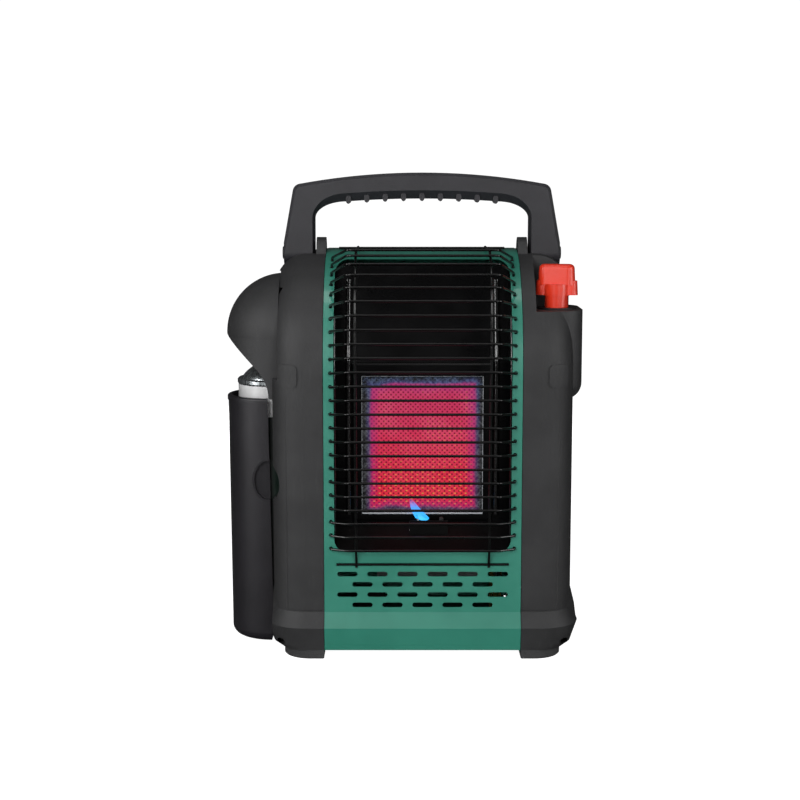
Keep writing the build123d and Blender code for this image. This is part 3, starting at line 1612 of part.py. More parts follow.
with BuildPart() as handle:
    with BuildSketch(Plane.XZ) as handle_face:
        with BuildLine():
            ThreePointArc(
                (-handle_shoulder_x, handle_shoulder_z),
                (0, handle_top_z),
                (handle_shoulder_x, handle_shoulder_z),
            )
            Polyline(
                (handle_shoulder_x, handle_shoulder_z),
                (handle_leg_outer, pivot_z + handle_side_rise),
                (handle_leg_outer, handle_foot_z),
                (-handle_leg_outer, handle_foot_z),
                (-handle_leg_outer, pivot_z + handle_side_rise),
                (-handle_shoulder_x, handle_shoulder_z),
            )
        make_face()
        shoulders = handle_face.vertices().group_by(Axis.Y)[-1]
        fillet(shoulders, radius=handle_corner_radius)
    extrude(amount=handle_half_depth, both=True)
    side_faces = handle.faces().filter_by(Axis.Y)
    high_edges = side_faces.edges().filter_by(lambda edge: edge.center().Z > pivot_z)
    chamfer(high_edges, length=handle_edge)
    extrude(handle_loop(Plane.XZ, 0.0, 0.0), amount=far, both=True, mode=Mode.SUBTRACT)
    for side in (-1, 1):
        face_plane = Plane.XZ.offset(side * handle_half_depth)
        deep_plane = Plane.XZ.offset(side * (handle_half_depth - loop_bevel_depth))
        mouth = handle_loop(face_plane, loop_bevel_side, loop_bevel_rise)
        throat = handle_loop(deep_plane, 0.0, 0.0)
        loft([mouth, throat], ruled=True, mode=Mode.SUBTRACT)
    foot_faces = handle.faces().filter_by(Axis.Z).group_by(Axis.Z)[0]
    fillet(foot_faces.edges().filter_by(Axis.X), radius=handle_half_depth - 0.1)
    for index in range(grip_ridges):
        ridge_x = (index - (grip_ridges - 1) / 2) * grip_ridge_pitch
        drop = grip_arch * (ridge_x / loop_flat) ** 2
        with BuildSketch(Plane.XZ):
            with Locations((ridge_x, handle_under_z - drop + grip_ridge_rise)):
                Ellipse(grip_ridge_half_width, grip_ridge_half_height)
        extrude(amount=grip_ridge_half_length, both=True)
    with BuildSketch(Plane.YZ.offset(-far)):
        with Locations((pivot_y, pivot_z)):
            Circle(pivot_radius + running_gap)
    extrude(amount=2 * far, mode=Mode.SUBTRACT)
print("handle", [round(s.volume) for s in handle.solids()])
save(handle.part, "handle")

for name, side in (("handle_pin_left", -1), ("handle_pin_right", 1)):
    inner_x = core_half_width + cap_gap
    head_x = handle_leg_outer + pin_reach
    with BuildPart() as pin:
        with BuildSketch(Plane.YZ.offset(side * inner_x)):
            with Locations((pivot_y, pivot_z)):
                Circle(pivot_radius)
        extrude(amount=side * (head_x - inner_x))
        with BuildSketch(Plane.YZ.offset(side * head_x)):
            with Locations((pivot_y, pivot_z)):
                Circle(pin_head_radius)
        extrude(amount=side * pin_head_height)
        head_face = pin.faces().sort_by(Axis.X)[-1 if side > 0 else 0]
        fillet(head_face.edges(), radius=pin_head_height / 2)
    save(pin.part, name)

# ---------------------------------------------------------------- feet and screws
with BuildPart() as foot_form:
    with BuildSketch(Plane.XY) as foot_plan:
        with Locations(((foot_inner_x + foot_outer_x) / 2, foot_outer_y - foot_depth / 2)):
            Rectangle(foot_outer_x - foot_inner_x, foot_depth)
        outer_corner = foot_plan.vertices().sort_by(Axis.X)[-2:].sort_by(Axis.Y)[-1]
        fillet(outer_corner, radius=foot_outer_corner)
    extrude(amount=floor_z)
    chamfer(foot_form.faces().sort_by(Axis.Z)[0].edges(), length=foot_chamfer)

right_rear_foot = foot_form.part
left_rear_foot = right_rear_foot.mirror(Plane.YZ)
save(left_rear_foot.mirror(Plane.XZ), "foot_front_left")
save(right_rear_foot.mirror(Plane.XZ), "foot_front_right")
save(left_rear_foot, "foot_rear_left")
save(right_rear_foot, "foot_rear_right")

screw_height = 2.4
recess_depth = 1.2
for name, side in (("screw_left", -1), ("screw_right", 1)):
    with BuildPart() as screw:
        with BuildSketch(Plane.XZ.offset(body_half_depth - screw_depth)):
            with Locations((side * screw_x, screw_z)):
                Circle(screw_head_radius)
        extrude(amount=screw_height)
        fillet(screw.faces().sort_by(Axis.Y)[0].edges(), radius=0.9)
        with BuildSketch(Plane.XZ.offset(body_half_depth - screw_depth + recess_depth)):
            with Locations((side * screw_x, screw_z)):
                Rectangle(4.2, 0.9)
                Rectangle(0.9, 4.2)
        extrude(amount=screw_height, mode=Mode.SUBTRACT)
    save(screw.part, name)
print(len(written), "parts")
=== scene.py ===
"""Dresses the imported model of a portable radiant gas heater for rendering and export.

Every length is in metres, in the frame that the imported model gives. The classes below follow the
heater's own sub-assemblies: the sheet-metal core, the hearth with its glowing tile, the end caps,
the cartridge bay, the controls and the handle. Each finish is a small frozen dataclass.
"""

from __future__ import annotations

import json
import logging
import math
from dataclasses import dataclass
from enum import Enum
from typing import Callable, Iterable, Sequence

import bmesh
import bpy
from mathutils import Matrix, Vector

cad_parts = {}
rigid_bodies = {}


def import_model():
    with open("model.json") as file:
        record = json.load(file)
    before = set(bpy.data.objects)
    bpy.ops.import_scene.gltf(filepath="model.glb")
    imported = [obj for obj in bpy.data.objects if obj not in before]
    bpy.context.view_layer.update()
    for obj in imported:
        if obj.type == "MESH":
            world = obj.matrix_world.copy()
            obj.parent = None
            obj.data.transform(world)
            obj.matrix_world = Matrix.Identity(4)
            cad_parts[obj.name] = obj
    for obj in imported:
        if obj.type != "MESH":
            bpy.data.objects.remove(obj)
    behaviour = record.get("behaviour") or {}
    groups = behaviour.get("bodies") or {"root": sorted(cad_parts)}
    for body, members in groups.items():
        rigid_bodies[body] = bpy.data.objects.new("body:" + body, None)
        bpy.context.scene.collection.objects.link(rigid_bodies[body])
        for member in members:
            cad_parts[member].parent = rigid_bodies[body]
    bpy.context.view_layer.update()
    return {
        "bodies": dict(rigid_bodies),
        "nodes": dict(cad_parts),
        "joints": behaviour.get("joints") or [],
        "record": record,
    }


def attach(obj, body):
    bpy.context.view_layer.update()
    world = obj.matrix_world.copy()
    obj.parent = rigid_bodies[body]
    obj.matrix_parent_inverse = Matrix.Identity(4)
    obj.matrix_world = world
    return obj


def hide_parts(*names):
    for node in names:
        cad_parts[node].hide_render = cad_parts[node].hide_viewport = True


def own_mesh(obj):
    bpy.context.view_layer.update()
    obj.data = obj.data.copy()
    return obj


LOG = logging.getLogger("heater")
MM = 0.001
BODY_CENTRE = Vector((18.25 * MM, 8.5 * MM, 0.0))


def at(x: float, y: float, z: float) -> Vector:
    """Turns body millimetres, measured from the body's centre line, into frame metres."""
    return Vector((x * MM, y * MM, z * MM)) + BODY_CENTRE


# --------------------------------------------------------------------------- node helpers
class Wiring:
    """Builds one node tree, whether a material's or a group's."""

    def __init__(self, tree: bpy.types.NodeTree) -> None:
        """Keeps the tree to build in.

        Args:
            tree: The node tree that new nodes go into.
        """
        self.tree = tree

    def node(self, kind: str, **settings: object) -> bpy.types.Node:
        """Adds a node and sets its plain properties and its unlinked inputs.

        Args:
            kind: The node's type name, such as "ShaderNodeTexNoise".
            **settings: Properties by name; a name ending in "_" sets the input of that title.

        Returns:
            The new node.
        """
        made = self.tree.nodes.new(kind)
        for name, value in settings.items():
            if name.endswith("_"):
                title = name[:-1].replace("_", " ")
                made.inputs[title].default_value = value
            else:
                setattr(made, name, value)
        return made

    def link(self, source: bpy.types.NodeSocket, target: bpy.types.NodeSocket) -> None:
        """Joins an output to an input."""
        self.tree.links.new(source, target)

    def maths(self, operation: str, first: object, second: object = 0.0) -> bpy.types.NodeSocket:
        """Adds a Math node.

        Args:
            operation: The operation's name, such as "MULTIPLY".
            first: A socket or a number.
            second: A socket or a number.

        Returns:
            The node's output.
        """
        made = self.tree.nodes.new("ShaderNodeMath")
        made.operation = operation
        for slot, value in ((0, first), (1, second)):
            if isinstance(value, bpy.types.NodeSocket):
                self.link(value, made.inputs[slot])
            else:
                made.inputs[slot].default_value = float(value)
        return made.outputs[0]

    def spread(self, value: bpy.types.NodeSocket, low: float, high: float,
               to_low: float = 0.0, to_high: float = 1.0, smooth: bool = True) -> bpy.types.NodeSocket:
        """Maps a value from one range to another.

        Args:
            value: The socket to map.
            low: The value that becomes to_low.
            high: The value that becomes to_high.
            to_low: The low end of the result.
            to_high: The high end of the result.
            smooth: Whether the ends are eased.

        Returns:
            The mapped value.
        """
        made = self.node("ShaderNodeMapRange", interpolation_type="SMOOTHSTEP" if smooth else "LINEAR")
        for slot, number in ((1, low), (2, high), (3, to_low), (4, to_high)):
            made.inputs[slot].default_value = number
        self.link(value, made.inputs[0])
        return made.outputs[0]

    def mix(self, share: object, first: object, second: object) -> bpy.types.NodeSocket:
        """Mixes two colours.

        Args:
            share: A socket or a number; 0 gives the first colour.
            first: A socket or an RGBA tuple.
            second: A socket or an RGBA tuple.

        Returns:
            The mixed colour.
        """
        made = self.node("ShaderNodeMix", data_type="RGBA")
        for slot, value in ((0, share), (6, first), (7, second)):
            if isinstance(value, bpy.types.NodeSocket):
                self.link(value, made.inputs[slot])
            else:
                made.inputs[slot].default_value = value
        return made.outputs[2]

    def place(self) -> bpy.types.NodeSocket:
        """Adds the piece's own coordinates."""
        return self.node("ShaderNodeTexCoord").outputs["Object"]


def colour(red: float, green: float, blue: float) -> tuple[float, float, float, float]:
    """Turns a display colour of 0 to 255 into linear RGBA."""
    def linear(value: float) -> float:
        """Undoes the display curve on one channel."""
        share = value / 255.0
        return share / 12.92 if share <= 0.04045 else ((share + 0.055) / 1.055) ** 2.4

    return linear(red), linear(green), linear(blue), 1.0


# --------------------------------------------------------------------------- shared effects
class Effect(Enum):
    """The surface effects that more than one finish uses."""

    GRAIN = "moulded_grain"
    PEEL = "paint_peel"
    SCUFF = "rub_marks"
    DUST = "settled_dust"


class Effects:
    """Builds each shared effect once, as a node group."""

    def __init__(self) -> None:
        """Starts with no groups built."""
        self.built: dict[Effect, bpy.types.NodeTree] = {}

    def group(self, effect: Effect) -> bpy.types.NodeTree:
        """Gives an effect's group, building it at its first use.

        Args:
            effect: Which effect.

        Returns:
            The node group.
        """
        if effect not in self.built:
            tree = bpy.data.node_groups.new(effect.value, "ShaderNodeTree")
            tree.interface.new_socket("Place", in_out="INPUT", socket_type="NodeSocketVector")
            tree.interface.new_socket("Scale", in_out="INPUT", socket_type="NodeSocketFloat")
            tree.interface.new_socket("Height", in_out="OUTPUT", socket_type="NodeSocketFloat")
            tree.interface.new_socket("Tone", in_out="OUTPUT", socket_type="NodeSocketFloat")
            wiring = Wiring(tree)
            source = wiring.node("NodeGroupInput")
            result = wiring.node("NodeGroupOutput")
            builder: Callable[..., None] = {
                Effect.GRAIN: self._grain,
                Effect.PEEL: self._peel,
                Effect.SCUFF: self._scuff,
                Effect.DUST: self._dust,
            }[effect]
            builder(wiring, source, result)
            self.built[effect] = tree
        return self.built[effect]

    def use(self, wiring: Wiring, effect: Effect, scale: float) -> bpy.types.Node:
        """Places an effect in a material.

        Args:
            wiring: The material's wiring.
            effect: Which effect.
            scale: The pattern's scale, in features per metre.

        Returns:
            The group node, with outputs Height and Tone.
        """
        made = wiring.node("ShaderNodeGroup")
        made.node_tree = self.group(effect)
        wiring.link(wiring.place(), made.inputs["Place"])
        made.inputs["Scale"].default_value = scale
        return made

    @staticmethod
    def _noise(wiring: Wiring, source: bpy.types.Node, factor: float, detail: float,
               roughness: float = 0.5) -> bpy.types.NodeSocket:
        """Adds a noise whose scale follows the group's Scale input."""
        made = wiring.node("ShaderNodeTexNoise", Detail_=detail, Roughness_=roughness)
        wiring.link(source.outputs["Place"], made.inputs["Vector"])
        wiring.link(wiring.maths("MULTIPLY", source.outputs["Scale"], factor), made.inputs["Scale"])
        return made.outputs["Fac"]

    def _grain(self, wiring: Wiring, source: bpy.types.Node, result: bpy.types.Node) -> None:
        """A fine pebbled grain, as moulded plastic has from its tool."""
        fine = self._noise(wiring, source, 1.0, 3.0, 0.6)
        broad = self._noise(wiring, source, 0.02, 2.0)
        wiring.link(wiring.spread(fine, 0.3, 0.7), result.inputs["Height"])
        wiring.link(wiring.spread(broad, 0.25, 0.75), result.inputs["Tone"])

    def _peel(self, wiring: Wiring, source: bpy.types.Node, result: bpy.types.Node) -> None:
        """The slow ripple of sprayed or dipped paint."""
        ripple = self._noise(wiring, source, 1.0, 1.0, 0.4)
        broad = self._noise(wiring, source, 0.06, 2.0)
        wiring.link(ripple, result.inputs["Height"])
        wiring.link(wiring.spread(broad, 0.3, 0.7), result.inputs["Tone"])

    def _scuff(self, wiring: Wiring, source: bpy.types.Node, result: bpy.types.Node) -> None:
        """Thin rub marks that come and go in patches."""
        stretch = wiring.node("ShaderNodeMapping")
        stretch.inputs["Scale"].default_value = (1.0, 1.0, 0.12)
        wiring.link(source.outputs["Place"], stretch.inputs["Vector"])
        streak = wiring.node("ShaderNodeTexNoise", Detail_=4.0, Roughness_=0.65)
        wiring.link(stretch.outputs[0], streak.inputs["Vector"])
        wiring.link(source.outputs["Scale"], streak.inputs["Scale"])
        patch = self._noise(wiring, source, 0.08, 2.0)
        mask = wiring.maths("MULTIPLY", wiring.spread(streak.outputs["Fac"], 0.56, 0.7),
                            wiring.spread(patch, 0.5, 0.68))
        wiring.link(streak.outputs["Fac"], result.inputs["Height"])
        wiring.link(mask, result.inputs["Tone"])

    def _dust(self, wiring: Wiring, source: bpy.types.Node, result: bpy.types.Node) -> None:
        """Light specks of dust."""
        cells = wiring.node("ShaderNodeTexVoronoi", feature="F1")
        wiring.link(source.outputs["Place"], cells.inputs["Vector"])
        wiring.link(source.outputs["Scale"], cells.inputs["Scale"])
        patch = self._noise(wiring, source, 0.1, 2.0)
        speck = wiring.spread(cells.outputs["Distance"], 0.16, 0.05)
        wiring.link(speck, result.inputs["Height"])
        wiring.link(wiring.maths("MULTIPLY", speck, wiring.spread(patch, 0.45, 0.7)), result.inputs["Tone"])


# --------------------------------------------------------------------------- finishes
@dataclass(frozen=True)
class Finish:
    """What every finish has: a name, a colour and how rough it is."""

    name: str
    tint: tuple[float, float, float, float]
    rough: float = 0.5

    def start(self) -> tuple[Wiring, bpy.types.Node, bpy.types.Material]:
        """Makes the material with its shader and plain values.

        Returns:
            The wiring, the Principled BSDF and the material.
        """
        material = bpy.data.materials.new(self.name)
        material.use_nodes = True
        wiring = Wiring(material.node_tree)
        shader = material.node_tree.nodes["Principled BSDF"]
        shader.inputs["Base Color"].default_value = self.tint
        shader.inputs["Roughness"].default_value = self.rough
        material.diffuse_color = self.tint
        return wiring, shader, material

    def build(self, effects: Effects) -> bpy.types.Material:
        """Builds the material.

        Args:
            effects: The shared effects.

        Returns:
            The finished material.
        """
        raise NotImplementedError


def raise_surface(wiring: Wiring, shader: bpy.types.Node, height: bpy.types.NodeSocket,
                  depth: float, strength: float = 1.0) -> None:
    """Feeds a height to the shader through a Bump node.

    Args:
        wiring: The material's wiring.
        shader: The Principled BSDF.
        height: The height socket.
        depth: The bump's depth in metres.
        strength: How much of the bump is used.
    """
    bump = wiring.node("ShaderNodeBump", Strength_=strength, Distance_=depth)
    wiring.link(height, bump.inputs["Height"])
    wiring.link(bump.outputs[0], shader.inputs["Normal"])


@dataclass(frozen=True)
class MouldedPlastic(Finish):
    """Injection-moulded plastic with a tool grain and a few rub marks."""

    grain_scale: float = 1500.0
    grain_depth: float = 0.00012
    tone_spread: float = 0.25
    rub: float = 0.5
    shine: float = 0.5

    def build(self, effects: Effects) -> bpy.types.Material:
        """Builds the moulded plastic."""
        wiring, shader, material = self.start()
        shader.inputs["Specular IOR Level"].default_value = self.shine
        grain = effects.use(wiring, Effect.GRAIN, self.grain_scale)
        scuff = effects.use(wiring, Effect.SCUFF, 260.0)
        darker = tuple(c * (1.0 - self.tone_spread) for c in self.tint[:3]) + (1.0,)
        lighter = tuple(min(1.0, c * (1.0 + self.tone_spread)) for c in self.tint[:3]) + (1.0,)
        base = wiring.mix(grain.outputs["Tone"], darker, lighter)
        pale = tuple(min(1.0, c * 1.8 + 0.01) for c in self.tint[:3]) + (1.0,)
        rubbed = wiring.mix(wiring.maths("MULTIPLY", scuff.outputs["Tone"], self.rub), base, pale)
        wiring.link(rubbed, shader.inputs["Base Color"])
        shade = wiring.spread(grain.outputs["Height"], 0.0, 1.0, self.rough - 0.05, self.rough + 0.06)
        wiring.link(shade, shader.inputs["Roughness"])
        raise_surface(wiring, shader, grain.outputs["Height"], self.grain_depth)
        return material


@dataclass(frozen=True)
class SprayedPaint(Finish):
    """Enamel or powder paint on metal, with a slow ripple and a clear gloss."""

    ripple_scale: float = 420.0
    ripple_depth: float = 0.00003
    gloss: float = 0.4
    gloss_rough: float = 0.12
    tone_spread: float = 0.08
    shine: float = 0.5

    def build(self, effects: Effects) -> bpy.types.Material:
        """Builds the paint."""
        wiring, shader, material = self.start()
        shader.inputs["Specular IOR Level"].default_value = self.shine
        shader.inputs["Coat Weight"].default_value = self.gloss
        shader.inputs["Coat Roughness"].default_value = self.gloss_rough
        peel = effects.use(wiring, Effect.PEEL, self.ripple_scale)
        dust = effects.use(wiring, Effect.DUST, 900.0)
        darker = tuple(c * (1.0 - self.tone_spread) for c in self.tint[:3]) + (1.0,)
        lighter = tuple(min(1.0, c * (1.0 + self.tone_spread)) for c in self.tint[:3]) + (1.0,)
        base = wiring.mix(peel.outputs["Tone"], darker, lighter)
        pale = tuple(min(1.0, c * 1.25 + 0.01) for c in self.tint[:3]) + (1.0,)
        dusty = wiring.mix(wiring.maths("MULTIPLY", dust.outputs["Tone"], 0.3), base, pale)
        wiring.link(dusty, shader.inputs["Base Color"])
        shade = wiring.spread(peel.outputs["Tone"], 0.0, 1.0, self.rough - 0.03, self.rough + 0.04)
        wiring.link(shade, shader.inputs["Roughness"])
        raise_surface(wiring, shader, peel.outputs["Height"], self.ripple_depth)
        return material


@dataclass(frozen=True)
class TwoToneTinPaintedShade(Finish):
    """A cartridge's lacquered tin: a plain light band, the can's own colour, over a dark body that is painted
    shade for the shaded bay behind the door.
    """

    band_z: float = 0.0
    # The dark body colour below band_z is painted shade for the shaded bay.
    body: tuple[float, float, float, float] = (0.02, 0.02, 0.02, 1.0)

    def build(self, effects: Effects) -> bpy.types.Material:
        """Builds the lacquer in its two colours: the light band, and below it the dark body as painted shade.
        """
        wiring, shader, material = self.start()
        shader.inputs["Coat Weight"].default_value = 0.5
        shader.inputs["Coat Roughness"].default_value = 0.1
        split = wiring.node("ShaderNodeSeparateXYZ")
        wiring.link(wiring.place(), split.inputs[0])
        peel = effects.use(wiring, Effect.PEEL, 300.0)
        above = wiring.spread(split.outputs["Z"], self.band_z - 0.0003, self.band_z + 0.0003)
        # Painted shade: below band_z the can takes the dark body colour, so it reads as dark as the shaded bay.
        painted_shade_body = wiring.mix(peel.outputs["Tone"], self.body, tuple(c * 1.3 for c in self.body[:3]) + (1.0,))
        wiring.link(wiring.mix(above, painted_shade_body, self.tint), shader.inputs["Base Color"])
        raise_surface(wiring, shader, peel.outputs["Height"], 0.00002)
        return material


@dataclass(frozen=True)
class BareMetal(Finish):
    """Unpainted metal with drawn or rolled streaks."""

    streak_scale: float = 300.0

    def build(self, effects: Effects) -> bpy.types.Material:
        """Builds the metal."""
        wiring, shader, material = self.start()
        shader.inputs["Metallic"].default_value = 1.0
        scuff = effects.use(wiring, Effect.SCUFF, self.streak_scale)
        peel = effects.use(wiring, Effect.PEEL, 90.0)
        darker = tuple(c * 0.75 for c in self.tint[:3]) + (1.0,)
        wiring.link(wiring.mix(peel.outputs["Tone"], darker, self.tint), shader.inputs["Base Color"])
        shade = wiring.spread(scuff.outputs["Height"], 0.3, 0.7, self.rough - 0.08, self.rough + 0.1)
        wiring.link(shade, shader.inputs["Roughness"])
        raise_surface(wiring, shader, scuff.outputs["Height"], 0.00003)
        return material


@dataclass(frozen=True)
class Rubber(Finish):
    """Matt rubber with a coarse grain."""

    def build(self, effects: Effects) -> bpy.types.Material:
        """Builds the rubber."""
        wiring, shader, material = self.start()
        grain = effects.use(wiring, Effect.GRAIN, 900.0)
        pale = tuple(min(1.0, c * 1.5 + 0.004) for c in self.tint[:3]) + (1.0,)
        wiring.link(wiring.mix(grain.outputs["Tone"], self.tint, pale), shader.inputs["Base Color"])
        raise_surface(wiring, shader, grain.outputs["Height"], 0.0002)
        return material


@dataclass(frozen=True)
class GlowingTile(Finish):
    """A perforated ceramic tile, red hot in the middle and dark at its rim."""

    centre: tuple[float, float] = (0.0, 0.0)
    half: tuple[float, float] = (0.0495, 0.0585)
    hole_pitch: float = 0.0023
    spot_pitch: float = 0.0051
    power: float = 0.78

    def grid(self, wiring: Wiring, across: bpy.types.NodeSocket, up: bpy.types.NodeSocket,
             pitch: tuple[float, float]) -> bpy.types.NodeSocket:
        """Makes a staggered grid of dots.

        Args:
            wiring: The material's wiring.
            across: The distance across the tile.
            up: The distance up the tile.
            pitch: The grid's pitch across and up, in metres.

        Returns:
            A value that is 1 in the middle of each dot and 0 or less between the dots.
        """
        first = wiring.maths("COSINE", wiring.maths("MULTIPLY", across, math.pi / pitch[0]))
        second = wiring.maths("COSINE", wiring.maths("MULTIPLY", up, math.pi / pitch[1]))
        return wiring.maths("MULTIPLY", first, second)

    def build(self, effects: Effects) -> bpy.types.Material:
        """Builds the tile's colour, glow and holes from its own coordinates."""
        wiring, shader, material = self.start()
        place = wiring.place()
        split = wiring.node("ShaderNodeSeparateXYZ")
        wiring.link(place, split.inputs[0])
        across = wiring.maths("SUBTRACT", split.outputs["X"], self.centre[0])
        up = wiring.maths("SUBTRACT", split.outputs["Z"], self.centre[1])
        wobble = wiring.node("ShaderNodeTexNoise", Scale_=42.0, Detail_=3.0)
        wiring.link(place, wobble.inputs["Vector"])
        sway = wiring.spread(wobble.outputs["Fac"], 0.25, 0.75, -0.0028, 0.0028, smooth=False)
        side = wiring.maths("SUBTRACT", wiring.maths("ABSOLUTE", across), self.half[0])
        side = wiring.maths("ADD", side, wiring.maths("MULTIPLY", sway, 0.4))
        over = wiring.maths("SUBTRACT", wiring.maths("ADD", wiring.maths("ABSOLUTE", up), sway), self.half[1])
        edge = wiring.maths("MAXIMUM", side, over)
        heat = wiring.spread(edge, 0.0006, -0.0030)
        halo = wiring.spread(edge, 0.0042, -0.0012)
        rise = wiring.spread(up, -self.half[1], self.half[1], smooth=False)

        pore = wiring.spread(self.grid(wiring, across, up, (self.hole_pitch, self.hole_pitch)), 0.05, 0.75)
        lit = self.grid(wiring, across, up, (self.spot_pitch, self.spot_pitch * 0.5))
        hot = wiring.spread(lit, 0.58, 1.0)
        blotch = wiring.node("ShaderNodeTexNoise", Scale_=26.0, Detail_=2.0)
        wiring.link(place, blotch.inputs["Vector"])
        patch = wiring.spread(blotch.outputs["Fac"], 0.38, 0.66)
        low = wiring.spread(rise, 0.62, 0.02)
        drift = wiring.spread(across, -self.half[0], self.half[0], 0.1, 0.34)
        share = wiring.maths("MAXIMUM", low, wiring.maths("MULTIPLY", patch, drift))
        spark = wiring.maths("MULTIPLY", hot, wiring.maths("ADD", wiring.maths("MULTIPLY", share, 0.86), 0.08))

        warm = wiring.mix(rise, colour(242, 40, 56), colour(206, 56, 106))
        pale = wiring.mix(rise, colour(250, 66, 84), colour(226, 96, 136))
        field = wiring.mix(wiring.maths("MULTIPLY", patch, 0.5), warm, pale)
        pored = wiring.mix(wiring.maths("MULTIPLY", pore, 0.85), field, colour(112, 8, 40))
        sparked = wiring.mix(spark, pored, colour(255, 168, 84))
        fringe = wiring.mix(wiring.spread(rise, 0.0, 1.0), colour(74, 28, 84), colour(46, 40, 96))
        cooler = wiring.mix(wiring.spread(edge, -0.0120, -0.0010, 0.0, 0.5), sparked, colour(150, 40, 130))
        glow = wiring.mix(heat, fringe, cooler)
        wiring.link(wiring.mix(halo, (0.0, 0.0, 0.0, 1.0), glow), shader.inputs["Emission Color"])
        shader.inputs["Emission Strength"].default_value = self.power

        mottle = wiring.node("ShaderNodeTexNoise", Scale_=260.0, Detail_=5.0, Roughness_=0.7)
        wiring.link(place, mottle.inputs["Vector"])
        cool = wiring.mix(wiring.spread(rise, 0.85, 1.08), colour(104, 106, 110), colour(84, 104, 140))
        grey = wiring.mix(wiring.spread(mottle.outputs["Fac"], 0.36, 0.64), colour(44, 45, 48), cool)
        # Painted shade: the pores are darkened in the rim's colour for the shade inside the holes.
        rim_pores_painted_shade = wiring.mix(wiring.maths("MULTIPLY", pore, 0.35), grey, colour(24, 24, 27))
        wiring.link(wiring.mix(heat, rim_pores_painted_shade, colour(36, 10, 14)), shader.inputs["Base Color"])
        shader.inputs["Specular IOR Level"].default_value = 0.2
        raise_surface(wiring, shader, wiring.maths("SUBTRACT", 1.0, pore), 0.0006)
        return material


@dataclass(frozen=True)
class GasFlame(Finish):
    """A thin blue flame that lets what is behind it show."""

    tip: tuple[float, float, float, float] = (0.02, 0.08, 0.9, 1.0)
    low_z: float = 0.0
    high_z: float = 1.0
    power: float = 3.0
    density: float = 0.75

    def build(self, effects: Effects) -> bpy.types.Material:
        """Builds the flame: bright at its root, fading out at its tip."""
        wiring, shader, material = self.start()
        split = wiring.node("ShaderNodeSeparateXYZ")
        wiring.link(wiring.place(), split.inputs[0])
        rise = wiring.spread(split.outputs["Z"], self.low_z, self.high_z, smooth=False)
        wiring.link(wiring.mix(rise, self.tint, self.tip), shader.inputs["Emission Color"])
        shader.inputs["Emission Strength"].default_value = self.power
        shader.inputs["Base Color"].default_value = (0.0, 0.0, 0.0, 1.0)
        shader.inputs["Specular IOR Level"].default_value = 0.0
        lick = wiring.node("ShaderNodeTexNoise", Scale_=180.0, Detail_=2.0)
        wiring.link(wiring.place(), lick.inputs["Vector"])
        fade = wiring.spread(rise, 1.0, 0.25, 0.0, self.density)
        wiring.link(wiring.maths("MULTIPLY", fade, wiring.spread(lick.outputs["Fac"], 0.2, 0.6, 0.55, 1.0)),
                    shader.inputs["Alpha"])
        return material


# --------------------------------------------------------------------------- pieces
class Workshop:
    """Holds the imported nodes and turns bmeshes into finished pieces."""

    def __init__(self, frame: dict) -> None:
        """Keeps the frame.
        """
        self.nodes: dict[str, bpy.types.Object] = frame["nodes"]
        self.effects = Effects()
        self.stock: dict[str, bpy.types.Material] = {}

    def material(self, finish: Finish) -> bpy.types.Material:
        """Gives a finish's material, building it once.

        Args:
            finish: The finish.

        Returns:
            Its material.
        """
        if finish.name not in self.stock:
            self.stock[finish.name] = finish.build(self.effects)
        return self.stock[finish.name]

    def dress(self, finish: Finish, *names: str) -> None:
        """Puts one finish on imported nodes.

        Args:
            finish: The finish.
            *names: The nodes' names.
        """
        for name in names:
            node = self.nodes[name]
            if not node.material_slots:
                node.data.materials.append(None)
            for slot in node.material_slots:
                slot.material = self.material(finish)
            LOG.info("dressed %s with %s", name, finish.name)

    def piece(self, name: str, mesh: bmesh.types.BMesh, finish: Finish, body: str,
              stands_for: Sequence[str] = (), smooth_below: float = 35.0) -> bpy.types.Object:
        """Makes a finished piece from a bmesh in frame metres.

        Args:
            name: The piece's name.
            mesh: The bmesh, which is freed.
            finish: Its finish.
            body: The body it rides on.
            stands_for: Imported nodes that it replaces.
            smooth_below: Edges flatter than this many degrees are shaded smooth.

        Returns:
            The new object.
        """
        bmesh.ops.recalc_face_normals(mesh, faces=mesh.faces)
        limit = math.radians(smooth_below)
        for face in mesh.faces:
            face.smooth = True
        for edge in mesh.edges:
            edge.smooth = len(edge.link_faces) == 2 and edge.calc_face_angle(0.0) < limit
        data = bpy.data.meshes.new(name)
        mesh.to_mesh(data)
        mesh.free()
        data.materials.append(self.material(finish))
        made = bpy.data.objects.new(name, data)
        bpy.context.scene.collection.objects.link(made)
        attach(made, body)
        if stands_for:
            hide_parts(*stands_for)
        LOG.info("made %s on %s: %d faces", name, body, len(data.polygons))
        return made


def slab(mesh: bmesh.types.BMesh, low: Vector, high: Vector) -> list[bmesh.types.BMVert]:
    """Adds a block between two corners.

    Args:
        mesh: The bmesh to add to.
        low: Its lowest corner.
        high: Its highest corner.

    Returns:
        The block's vertices.
    """
    made = bmesh.ops.create_cube(mesh, size=1.0)["verts"]
    size = high - low
    bmesh.ops.scale(mesh, verts=made, vec=size)
    bmesh.ops.translate(mesh, verts=made, vec=(low + high) / 2)
    return made


def round_edges(mesh: bmesh.types.BMesh, edges: Iterable[bmesh.types.BMEdge], width: float,
                steps: int = 3) -> None:
    """Rounds the given edges.

    Args:
        mesh: The bmesh.
        edges: The edges to round.
        width: The rounding's width in metres.
        steps: How many segments it has.
    """
    bmesh.ops.bevel(mesh, geom=list(edges), offset=width, offset_type="OFFSET", segments=steps,
                    profile=0.5, affect="EDGES", material=-1, clamp_overlap=True)


